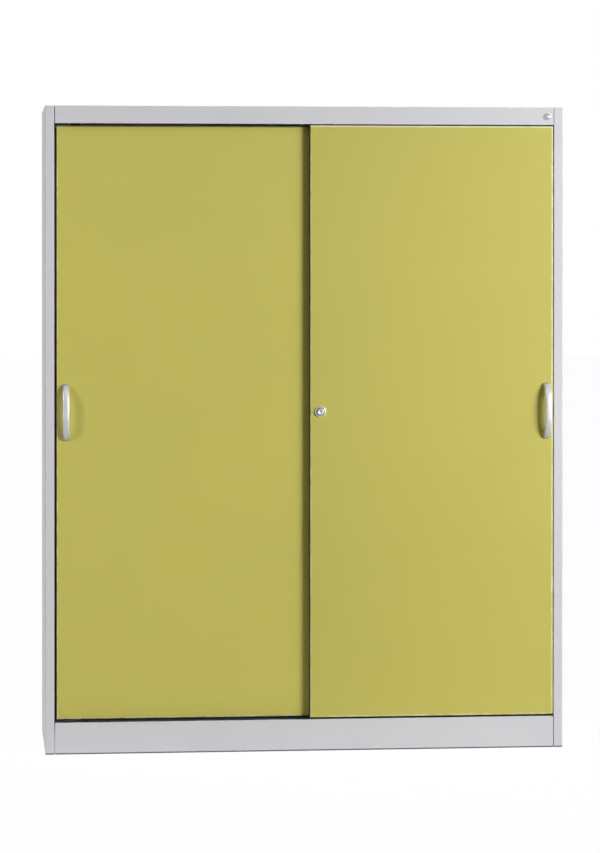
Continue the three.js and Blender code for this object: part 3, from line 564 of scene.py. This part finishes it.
# A side: the outline of a folded tube, down inside from the closed top to the open foot, which is rolled in
# along a quarter circle, and up outside to the top, which is drawn in the same way
def sidePanel(name):
    low, high = span(name)
    t, s = sheetSteel["thickness"], sidePanelSettings
    bend, foot, top, guard = s["bend"], s["footRound"], s["topRound"], s["guard"]
    loop = lambda setIn, z, radius: levelLoop(low, high, setIn, z, radius)
    arc = [(1 - math.cos(a), 1 - math.sin(a)) for a in np.linspace(0, math.pi / 2, 5)]
    rows = [loop(t, high[2] - t, bend - t), loop(t, low[2] + foot, bend - t)]
    rows += [loop(foot, low[2] + t, s["square"])]
    rows += [loop(foot * i, low[2] + foot * rise, bend - s["footShare"] * foot * i) for i, rise in arc[::-1]]
    rows += [loop(0, low[2] + foot + guard, bend), loop(0, high[2] - top - guard, bend)]
    rows += [loop(top * i, high[2] - top * drop, bend - s["topShare"] * top * i) for i, drop in arc]
    rows += [loop(top + s["topFlat"], high[2], s["square"])]
    bends = roundedLoop(low[0], high[0], low[1], high[1], bend)[1]
    curled = [np.ones_like(bends)] * len(arc)
    masks = np.array([bends] * 3 + curled + [bends] * 2 + curled + [bends])
    makePiece(name + "_skin", [loft(rows, masks)], "carcass", "carcass_grey", name)


for side in sides:
    sidePanel("side_panel_" + side)

topSettings = {"rearFlange": 40.0, "hemGap": 0.3, "seam": 0.5, "curl": 1.6, "stemHole": 4.6,
               "stemCut": (-4.0, 2.5)}


# The top sheet, folded down at the front as the rail and at the back as a flange
def topPanel():
    low, high = span("top_panel")
    s = topSettings
    hem = span("upper_track")[0][1] - s["hemGap"]
    front, back, foot, top = low[1] + halfSheet, high[1] - halfSheet, low[2] + halfSheet, high[2] - halfSheet
    corners = [[back, high[2] - s["rearFlange"]], [back, top], [front, top], [front, foot], [hem, foot]]
    shell = foldedSheet(corners, low[0] + s["seam"], high[0] - s["seam"], alongX, outwards=-1, curl=s["curl"])
    button = middleOf("rail_button")
    hole = borer(s["stemHole"], *s["stemCut"], [button[0], low[1], button[2]])
    makePiece("top_sheet", [shell], "carcass", "carcass_grey", "top_panel", [hole])


topPanel()

plinthSettings = {"topLip": 5.0, "footLip": 8.0, "seam": 0.5, "curl": 1.6, "footBend": 3.5, "lugWidth": 40.0,
                  "lugReach": (0.6, 45.0), "lugHeights": (40.0, 43.0), "lugRound": 0.4, "rodHole": 5.4,
                  "rodCut": 30.0}


# A base rail: a folded sheet on edge and two lugs, each with a hole for its foot's rod. Ahead is 1 for the
# front rail and -1 for the rear one, which looks the other way and has no lip above.
def baseRail(node, name, ahead, topLip=0.0, seam=0.0, curl=0.0):
    low, high = span(node)
    s, bend = plinthSettings, sheetSteel["bend"]
    face = low[1] if ahead > 0 else high[1]
    sheet, foot, top = face + ahead * halfSheet, low[2] + halfSheet, high[2] - halfSheet
    corners = [[sheet, top if topLip else high[2]], [sheet, foot], [face + ahead * s["footLip"], foot]]
    bends = [bend, s["footBend"], bend]
    if topLip:
        corners.insert(0, [face + ahead * topLip, top])
        bends.insert(0, bend)
    shells = [foldedSheet(corners, low[0] + seam, high[0] - seam, alongX, -ahead, bends, curl)]
    near, far = sorted(face + ahead * reach for reach in s["lugReach"])
    under, over = s["lugHeights"]
    half, holes = s["lugWidth"] / 2, []
    for side in sides:
        x, y, _ = middleOf(f"levelling_foot_{'front' if ahead > 0 else 'rear'}_{side}")
        shells.append(block([x - half, near, under], [x + half, far, over], s["lugRound"], 2))
        holes.append(stoodUp(borer(s["rodHole"], -s["rodCut"], s["rodCut"], [0, 0, 0], 32), [x, y, under]))
    makePiece(name, shells, "carcass", "carcass_grey", node, holes)


baseRail("front_plinth", "plinth_sheet", 1, *[plinthSettings[key] for key in ("topLip", "seam", "curl")])
baseRail("rear_base_rail", "rear_rail_sheet", -1)


# The floor: a sheet with a flange down at the front and at the back
def floorPanel():
    low, high = span("floor_panel")
    front, back, top = low[1] + halfSheet, high[1] - halfSheet, high[2] - halfSheet
    corners = [[back, low[2]], [back, top], [front, top], [front, low[2]]]
    shell = foldedSheet(corners, low[0], high[0], alongX, outwards=-1)
    makePiece("floor_sheet", [shell], "carcass", "interior_grey", "floor_panel")


floorPanel()

buttonSettings = {"radius": 11.0, "dome": 6.0, "rim": 1.2, "stem": 4.0, "lip": 0.5, "gap": 0.3,
                  "maskRamp": (8.2, 9.4)}


# The rail's button: a dome along a quarter ellipse on a thin rim, with its stem behind; the rim is marked for
# the pale edge colour, a painted highlight
def railButton():
    s = buttonSettings
    middle = middleOf("rail_button")
    centre = [middle[0], frontPlane - s["gap"], middle[2]]
    end, shoulder = span("rail_button")[1][1] - centre[1], s["radius"] - s["lip"]
    angles = np.linspace(0.02, math.pi / 2, 17)
    dome = np.stack([shoulder * np.sin(angles), -s["rim"] - s["dome"] * np.cos(angles)], axis=-1)
    rim = foldLine([[shoulder, -s["rim"]], [s["radius"], -s["rim"]], [s["radius"], 0], [s["stem"], 0],
                    [s["stem"], end], [0.05, end]], [0, 0.4, 0.2, 0.1, 0.3, 0], 4, 0.1)[0]
    profile = np.vstack([dome, rim[1:]])
    radii = profile[:, :1]
    shell = loft(lathe(radii, profile[:, 1:], centre, 64), np.interp(radii, s["maskRamp"], (0, 1)))
    makePiece("domed_button", [shell], "carcass", "lock_chrome", "rail_button")


railButton()
print("carcass skins made")


# Doors

doorSettings = {"depth": 20.0, "frontBend": 5.0, "backBend": 2.0, "lip": 12.0, "corner": 2.2,
                "wheelSlot": (34.0, 9.6), "slotRound": 0.8, "screwHole": 2.3, "barrelHole": 13.2, "cut": 3.0}


# A door: the pan surface stood upright, with slots below for the wheels and holes for screws and lock
def doorSkin(door, fittings):
    low, high = span(door + "_pan")
    s = doorSettings
    upright = lambda x, z, back: np.stack([x, low[1] + back, z], axis=-1)
    shell = pan(low[0], high[0], low[2], high[2], s["depth"], s["frontBend"], s["backBend"], s["lip"],
                s["corner"], upright)
    cutters = []
    halfLong, halfWide = [measure / 2 for measure in s["wheelSlot"]]
    for side in sides:
        x, y, _ = middleOf(f"{door}_wheel_{side}")
        cutters.append(block([x - halfLong, y - halfWide, low[2] - s["cut"]],
                             [x + halfLong, y + halfWide, low[2] + s["cut"]], s["slotRound"], 3))
    for node, radius in fittings:
        x, _, z = middleOf(node)
        cutters.append(borer(radius, -s["cut"], s["cut"], [x, low[1], z], 40))
    makePiece(door + "_skin", [shell], door, "door_lime", door + "_pan", cutters)


screws = lambda door: [f"{door}_handle_screw_{place}" for place in ("lower", "upper")]
screwHoles = lambda door: [(screw, doorSettings["screwHole"]) for screw in screws(door)]
doorSkin("rear_door", screwHoles("rear_door"))
doorSkin("front_door", screwHoles("front_door") + [("lock_barrel", doorSettings["barrelHole"])])

handleSettings = {"reach": 35.0, "endReach": 9.0, "power": 3.0, "bar": 8.0, "foot": 17.0, "fillet": 8.0,
                  "halfWidth": 10.6, "flare": 1.4, "tip": 10.0, "tipThin": 0.97, "tipDrop": 0.45, "lean": 1.6,
                  "seat": 0.3, "crown": 2.6, "back": 5.0, "widest": 0.35, "rows": 80, "lastRow": 0.985,
                  "around": 56, "maskRamp": (0.72, 0.92), "highlightBack": -0.3, "screwDepth": 10.3}


# A bow handle. Along the door, z runs from tip to tip, denser at the tips: z = half length * sin(pi s / 2).
# Its front stands off by endReach + (reach - endReach)(1 - |z / half|^3), its back by that less the bar,
# drawn down to the door over the feet. Across, the section is a superellipse, round in front and flatter
# behind, whose widest line lies nearer the back, and its middle leans sideways by lean (1 - |z / half|^3).
def bowHandle(door):
    low, high = span(door + "_handle")
    s = handleSettings
    half, middle = (high[2] - low[2]) / 2, (low + high) / 2
    face = span(door + "_pan")[0][1]
    z = half * np.sin(math.pi / 2 * np.linspace(-s["lastRow"], s["lastRow"], s["rows"]))[:, None]
    share = np.abs(z) / half
    front = s["endReach"] + (s["reach"] - s["endReach"]) * (1 - share ** s["power"])
    lift = np.clip((half - s["foot"] - np.abs(z)) / s["fillet"] + 0.5, 0, 1)
    back = s["seat"] + (front - s["bar"] - s["seat"]) * lift ** 2 * (3 - 2 * lift)
    tip = np.clip((np.abs(z) - half + s["tip"]) / s["tip"], 0, 1)
    wide = (s["halfWidth"] + s["flare"] * share ** 4) * np.sqrt(1 - tip ** 2 * s["tipThin"])
    front = front * (1 - s["tipDrop"] * tip ** 3)
    turn = np.linspace(0, 2 * math.pi, s["around"], endpoint=False)
    cosine, sine = np.cos(turn), np.sin(turn)
    power = np.where(sine > 0, 2 / s["crown"], 2 / s["back"])
    across = np.sign(cosine) * np.abs(cosine) ** power
    rise = np.sign(sine) * np.abs(sine) ** power
    split = back + (front - back) * s["widest"]
    stand = split + np.where(sine > 0, front - split, split - back) * rise
    centre = middle[0] + s["lean"] * (1 - share ** s["power"])
    rows = np.stack([centre + wide * across, face - stand, middle[2] + z + 0 * across], axis=-1)
    holes = []
    for screw in screws(door):
        x, _, height = middleOf(screw)
        holes.append(borer(doorSettings["screwHole"], -s["screwDepth"], 1, [x, face, height], 24))
    # The side edges of the front carry the bend mask, which the silver finish paints paler: a painted
    # highlight
    edges = np.interp(np.abs(cosine), s["maskRamp"], (0, 1)) * (sine > s["highlightBack"])
    bow = loft(rows, edges[None])
    makePiece(door + "_bow", [bow], door, "handle_silver", door + "_handle", holes, sharp=50)


bowHandle("rear_door")
bowHandle("front_door")

lockSettings = {"escutcheon": 17.0, "plate": 4.0, "gap": 0.3, "bore": 11.6, "barrel": 13.0, "barrelEnd": 19.0,
                "boltHole": 5.3, "wall": 17.5, "plunger": 10.8, "proud": 14.0, "shoulder": 6.0, "bolt": 5.0,
                "boltTip": 19.5, "core": 7.4, "coreBore": 7.9, "coreProud": 0.8, "coreDepth": 12.0,
                "coreRound": 0.5, "slot": (2.0, 5.0), "slotDepth": 4.0, "dish": 5.6, "dishDepth": 0.9,
                "around": 96, "mouth": (1.3, 1.1),
                "barrelRounds": [0.25, 0.4, 1.3, 0.3, 0.1, 0.3, 0.1, 0.1, 0.1],
                "plungerRounds": [0, 0.1, 0.1, 0.2, 1.0, 0.3, 0.1, 1.2, 0]}


# The lock's turned pieces: barrel with its round plate, plunger with its bolt, and the core with a key slot.
# The core's rows are circles, down into a dish and on to the slot's outline
# r(a) = ((|cos a| / w)^8 + (|sin a| / l)^8)^(-1/8), which goes on to the slot's floor.
def lockPieces():
    s = lockSettings
    x, _, z = middleOf("lock_barrel")
    centre = [x, span("front_door_pan")[0][1], z]
    seat, front = -s["gap"], -s["gap"] - s["plate"]
    wider, deeper = s["mouth"]
    barrel = turned([[s["bore"], front + deeper], [s["bore"] + wider, front], [s["escutcheon"], front],
                     [s["escutcheon"], seat], [s["barrel"], seat], [s["barrel"], s["barrelEnd"]],
                     [s["boltHole"], s["barrelEnd"]], [s["boltHole"], s["wall"]], [s["bore"], s["wall"]]],
                    centre, s["barrelRounds"], 80, 5, 0.08, ring=True)
    makePiece("lock_plate_and_barrel", [barrel], "front_door", "lock_chrome", "lock_barrel")
    tip = -s["proud"]
    floor = s["coreDepth"] + s["gap"] + tip
    plunger = turned([[0.05, floor], [s["coreBore"], floor], [s["coreBore"], tip + 0.3],
                      [s["coreBore"] + 0.5, tip], [s["plunger"], tip], [s["plunger"], s["shoulder"]],
                      [s["bolt"], s["shoulder"]], [s["bolt"], s["boltTip"]], [0.05, s["boltTip"]]],
                     centre, s["plungerRounds"], 80, 5, 0.08)
    makePiece("lock_push_button", [plunger], "lock_plunger", "lock_chrome", "lock_plunger")
    around = np.linspace(0, 2 * math.pi, s["around"], endpoint=False)
    wide, long = s["slot"]
    slot = ((np.abs(np.cos(around)) / wide) ** 8 + (np.abs(np.sin(around)) / long) ** 8) ** (-1 / 8)
    top, curve, one = tip - s["coreProud"], s["coreRound"], np.ones(s["around"])
    rim = [(one * (s["core"] - curve * (1 - math.sin(a))), top + curve * (1 - math.cos(a)))
           for a in np.linspace(math.pi / 2, 0, 5)]
    dish, dished, deep = one * s["dish"], top + s["dishDepth"], top + s["slotDepth"]
    stations = [(one * s["core"], s["coreDepth"] + tip), *rim, (dish + 0.3, top), (dish, top + 0.1),
                (slot + 0.4, dished), (slot, dished + 0.3), (slot, deep - 0.2), (slot * 0.95, deep)]
    masks = np.zeros((len(stations), 1))
    masks[1:8] = 1  # the rim and the upper edge of the dish take the pale edge colour, a painted highlight
    radii, along = np.array([r for r, _ in stations]), np.array([[y] for _, y in stations])
    core = loft(lathe(radii, along, centre, s["around"]), masks)
    makePiece("lock_core", [core], "lock_key_core", "lock_chrome", "lock_key_core")


lockPieces()
print("doors, handles and lock made")


# Inside

shelfSettings = {"bend": 2.2, "lip": 12.0, "corner": 1.5, "tongue": (2.4, 8.0), "tongueReach": 3.0,
                 "overlap": 0.5, "rise": 6.0}
innerPosts = ("shelf_post_left_front", "shelf_post_left_rear")  # the right ones lie at the same places in Y


# A shelf: the pan surface laid face up, with tongues at its ends where the slots of post and partition are
def shelfSkin(name):
    low, high = span(name)
    s = shelfSettings
    left, right = low[0] + s["tongueReach"], high[0] - s["tongueReach"]
    flat = lambda x, y, down: np.stack([x, y, high[2] - down], axis=-1)
    shells = [pan(left, right, low[1], high[1], high[2] - low[2], s["bend"], s["bend"], s["lip"], s["corner"],
                  flat, steps=5)]
    half, foot = s["tongue"][0] / 2, low[2] + s["rise"]
    for post in innerPosts:
        y = middleOf(post)[1]
        for start, end in ((low[0], left + s["overlap"]), (right - s["overlap"], high[0])):
            shells.append(block([start, y - half, foot], [end, y + half, foot + s["tongue"][1]], 0.3, 2))
    makePiece(name + "_tray", shells, "carcass", "interior_grey", name)


for side in sides:
    for row in range(1, 5):
        shelfSkin(f"shelf_{side}_{row}")

slotSettings = {"pitch": 25.0, "wide": 4.0, "tall": 12.0, "round": 0.6, "slack": 0.3, "lowMargin": 8.0,
                "highMargin": 4.0, "postCut": 2.2, "partitionCut": 2.0, "partitionHigh": 1916.0}


# Cutters for a ladder of slots whose every fifth one lies where the CAD has one, level with the tongues
def slotCutters(x0, x1, y, low, high):
    s = slotSettings
    tongueLow = span("shelf_left_1")[0][2] + shelfSettings["rise"] - s["slack"]
    first = tongueLow - s["pitch"] * math.floor((tongueLow - low - s["lowMargin"]) / s["pitch"])
    return [block([x0, y - s["wide"] / 2, z], [x1, y + s["wide"] / 2, z + s["tall"]], s["round"], 2)
            for z in np.arange(first, high - s["tall"] - s["highMargin"], s["pitch"])]


# A shelf post: a shallow folded channel with a ladder of slots in its face
def shelfPost(name):
    low, high = span(name)
    ahead = 1 if "left" in name else -1
    wall, face = (low[0], high[0]) if ahead > 0 else (high[0], low[0])
    sheet, front, back = face - ahead * halfSheet, low[1] + halfSheet, high[1] - halfSheet
    shell = foldedSheet([[wall, front], [sheet, front], [sheet, back], [wall, back]], low[2], high[2], alongZ,
                        outwards=-ahead)
    cut = slotSettings["postCut"]
    cutters = slotCutters(face - cut, face + cut, (low[1] + high[1]) / 2, low[2], high[2])
    makePiece(name + "_ladder", [shell], "carcass", "zinc_steel", name, cutters, finish="black_zinc_steel")


for side in sides:
    for place in ends:
        shelfPost(f"shelf_post_{side}_{place}")


# The partition: two rounded rectangles one sheet apart, joined at both ends, with slots through both skins
def partition():
    low, high = span("centre_partition")
    t, bend, cut = sheetSteel["thickness"], sheetSteel["bend"], slotSettings["partitionCut"]
    corners = ((0, low[2]), (0, high[2]), (t, high[2]), (t, low[2]))
    rows = [levelLoop(low, high, setIn, z, bend - setIn) for setIn, z in corners]
    shell = loft(rows, roundedLoop(low[0], high[0], low[1], high[1], bend)[1][None], ring=True)
    cutters = [cutter for post in innerPosts for cutter in slotCutters(
        low[0] - cut, high[0] + cut, middleOf(post)[1], low[2], slotSettings["partitionHigh"])]
    makePiece("partition_skin", [shell], "carcass", "interior_grey", "centre_partition", cutters)


partition()
print("shelves, posts and partition made")


# Running gear

wheelSettings = {"radius": 15.0, "tread": 12.5, "bore": 3.3, "side": 4.0, "mouth": 3.0, "treadHalf": 1.9,
                 "hub": 6.2, "rimInner": 10.6, "dish": 0.9, "slope": 0.6,
                 "rounds": [0.3, 0.2, 0.2, 0.2, 0.2, 0.5, 0.15, 0.3]}


# A grooved wheel: its closed profile runs up one dished side, over rim and groove, and down the other
def wheel(name):
    s = wheelSettings
    side, dished = -s["side"], s["dish"] - s["side"]
    profile = [[s["bore"], side], [s["hub"], side], [s["hub"] + s["slope"], dished], [s["rimInner"], dished],
               [s["rimInner"] + s["slope"], side], [s["radius"], side], [s["radius"], -s["mouth"]],
               [s["tread"], -s["treadHalf"]]]
    profile += [[r, -y] for r, y in profile[::-1]]
    shell = turned(profile, middleOf(name), s["rounds"] + s["rounds"][::-1], 72, 3, 0.05, ring=True)
    makePiece(name + "_turned", [shell], name, "black_nylon", name)


for door in doors:
    for side in sides:
        wheel(f"{door}_wheel_{side}")

footSettings = {"pad": 12.0, "padHeight": 4.0, "cone": 3.0, "rod": 5.0, "pitch": 1.5, "thread": 0.45,
                "rodSteps": 24, "head": 7.36, "headHeight": 4.0, "chamfer": 0.5, "headShare": 0.93,
                "headSteps": 48}


# A levelling foot: a turned pad, a rod whose radius dips as a triangle wave of z / pitch - a / 2 pi, which is
# a thread, and a six-sided head, r = head cos 30 degrees / cos(a folded to 30 degrees)
def levellingFoot(name):
    low, high = span(name)
    s, origin = footSettings, [0, 0, 0]
    neck, top = s["padHeight"] + s["cone"], high[2] - low[2] - s["headHeight"]
    pad = turned([[0.05, 0], [s["pad"], 0], [s["pad"], s["padHeight"]], [s["rod"] - 0.5, neck], [0.05, neck]],
                 origin, [0, 0.6, 1.0, 0.3, 0], 48)
    z = np.arange(neck - 0.6, top + 0.3, s["pitch"] / 6)[:, None]
    phase = z / s["pitch"] - np.linspace(0, 1, s["rodSteps"], endpoint=False)
    dips = s["thread"] * np.abs(2 * (phase - np.floor(phase)) - 1)
    rod = loft(lathe(s["rod"] - dips, z, origin, s["rodSteps"]))
    around = np.linspace(0, 2 * math.pi, s["headSteps"], endpoint=False)
    folded = (around + math.pi / 6) % (math.pi / 3) - math.pi / 6
    sixSided = s["head"] * math.cos(math.pi / 6) / np.cos(folded)
    shares = np.array([s["headShare"], 1.0, 1.0, s["headShare"]])[:, None]
    heights = np.array([0, s["chamfer"], s["headHeight"] - s["chamfer"], s["headHeight"]])[:, None] + top
    head = loft(lathe(sixSided * shares, heights, origin, s["headSteps"]))
    place = [(low[0] + high[0]) / 2, (low[1] + high[1]) / 2, low[2]]
    shells = [stoodUp(shell, place) for shell in (pad, rod, head)]
    makePiece(name + "_screwed", shells, name, "zinc_steel", name)


for place in ends:
    for side in sides:
        levellingFoot(f"levelling_foot_{place}_{side}")

# Nodes kept as the CAD has them; the tracks, like the posts, get a near-black zinc whose dark tone stands in
# for the shade of the gaps where they show
carriedSlots = {
    "back_panel_left": "interior_grey", "back_panel_right": "interior_grey", "upper_track": "zinc_steel",
    "lower_track": "zinc_steel", "front_track_stop": "zinc_steel", "rear_track_stop": "zinc_steel",
    "closing_buffer_left": "black_rubber", "closing_buffer_right": "black_rubber", "lock_nut": "zinc_steel",
    "lock_keeper": "zinc_steel",
}
for door in doors:
    carriedSlots.update({f"{door}_{part}": "zinc_steel" for part in (
        "stiffener", "carriage_left", "carriage_right", "handle_screw_lower", "handle_screw_upper")})
    carriedSlots.update({f"{door}_guide_{side}": "black_nylon" for side in sides})
for node, slotName in carriedSlots.items():
    carried = nodes[node]
    carried.data.materials.clear()
    carried.data.materials.append(finishes["black_zinc_steel" if "track" in node else slotName])
unfinished = [name for name, piece in nodes.items() if not piece.hide_render and name not in carriedSlots]
print("running gear made, nodes kept:", len(carriedSlots), "without a finish:", unfinished)


# Stage

def aim(thing, place, ahead):
    thing.location = place
    thing.rotation_mode = "QUATERNION"
    thing.rotation_quaternion = ahead.to_track_quat("-Z", "Y")


cameraSettings = {"place": (-1.0074, frontPlane / 1000 - 8.317, 1.5417), "yaw": 4.7824, "pitch": -0.3603,
                  "sensor": 36.0, "lens": 115.093, "shiftX": 0.1114, "shiftY": -0.1876, "clipEnd": 60.0}


def makeCamera():
    s = cameraSettings
    yaw, pitch = math.radians(s["yaw"]), math.radians(s["pitch"])
    ahead = Vector((math.sin(yaw) * math.cos(pitch), math.cos(yaw) * math.cos(pitch), math.sin(pitch)))
    camera = newObject("camera", bpy.data.cameras.new("camera"))
    camera.data.sensor_width, camera.data.lens, camera.data.clip_end = s["sensor"], s["lens"], s["clipEnd"]
    camera.data.shift_x, camera.data.shift_y = s["shiftX"], s["shiftY"]
    aim(camera, s["place"], ahead)
    bpy.context.scene.camera = camera


makeCamera()

lampSettings = {
    "right": {"place": (6.91, -7.2, 2.75), "aim": (2.23, 0.0, 1.61), "size": (5.08, 2.64), "spread": 56.7,
              "power": 127.0},
    "left": {"place": (-4.2, -2.55, 2.45), "aim": (-1.06, 0.0, 1.19), "size": (0.6, 3.8), "spread": 23.8,
             "power": 5.2},
    "above": {"place": (0.2, -3.6, 5.6), "aim": (0.0, 0.0, 1.1), "size": (2.6, 0.6), "spread": 120.0,
              "power": 6.0},
}
for lampName, lamp in lampSettings.items():
    data = bpy.data.lights.new(lampName, "AREA")
    data.shape, data.size, data.size_y = "RECTANGLE", *lamp["size"]
    data.energy, data.spread = lamp["power"], math.radians(lamp["spread"])
    aim(newObject(lampName, data), lamp["place"], Vector(lamp["aim"]) - Vector(lamp["place"]))

# Pieces left out for the left lamp: those that don't stop its light, and those that aren't lit by it
fillSettings = {"blocker_collection": ("side_panel_left_skin",),
                "receiver_collection": ("shelf_post_left_front_ladder", "back_panel_left", "front_door_skin")}


# The left side would shade a strip of the rear door, and the left front post, the left back panel and the
# front door would be too pale beside it
def linkFill(holder):
    for use, names in fillSettings.items():
        spared = bpy.data.collections.new(use)
        for position, name in enumerate(names):
            spared.objects.link(bpy.data.objects[name])
            spared.collection_objects[position].light_linking.link_state = "EXCLUDE"
        setattr(holder.light_linking, use, spared)


linkFill(bpy.data.objects["left"])

stageSettings = {"worldStrength": 0.03, "floorSize": 30.0, "floorShow": 0.95, "floorPale": 0.95,
                 "floorWhite": 1.03}


def seenDirectly(tree):  # 1 where the camera, gloss or glass looks at it, otherwise 0
    rays = addNode(tree, "LightPath")
    seen = times(tree, rays.outputs["Is Camera Ray"], rays.outputs["Is Glossy Ray"], "MAXIMUM")
    return times(tree, seen, rays.outputs["Is Transmission Ray"], "MAXIMUM")


# The world lights the object softly, and is plain white where it is seen directly
def makeWorld():
    world = bpy.data.worlds.new("world")
    world.use_nodes = True
    bpy.context.scene.world = world
    tree = world.node_tree
    tree.nodes.clear()
    soft = addNode(tree, "Background", {"Color": (1, 1, 1, 1), "Strength": stageSettings["worldStrength"]})
    white = addNode(tree, "Background", {"Color": (1, 1, 1, 1), "Strength": 1.0})
    both = addNode(tree, "MixShader", {0: seenDirectly(tree), 1: soft.outputs[0], 2: white.outputs[0]})
    addNode(tree, "OutputWorld", {0: both.outputs[0]})


# The floor is pale to the object's light, and nearly all plain white where it is seen directly
def makeFloor():
    s = stageSettings
    size, pale = s["floorSize"], (s["floorPale"],) * 3 + (1,)
    mesh = bpy.data.meshes.new("floor")
    corners = [(-size, -size, 0), (size, -size, 0), (size, size, 0), (-size, size, 0)]
    mesh.from_pydata(corners, [], [(0, 1, 2, 3)])
    floor = newObject("floor", mesh)
    material = bpy.data.materials.new("floor")
    material.use_nodes = True
    tree = material.node_tree
    tree.nodes.clear()
    lit = addNode(tree, "BsdfDiffuse", {"Color": pale})
    white = addNode(tree, "Emission", {"Color": (1, 1, 1, 1), "Strength": s["floorWhite"]})
    seen = times(tree, seenDirectly(tree), s["floorShow"])
    both = addNode(tree, "MixShader", {0: seen, 1: lit.outputs[0], 2: white.outputs[0]})
    addNode(tree, "OutputMaterial", {0: both.outputs[0]})
    mesh.materials.append(material)


makeWorld()
makeFloor()
bpy.context.scene.view_settings.view_transform = "Standard"
print("stage made")
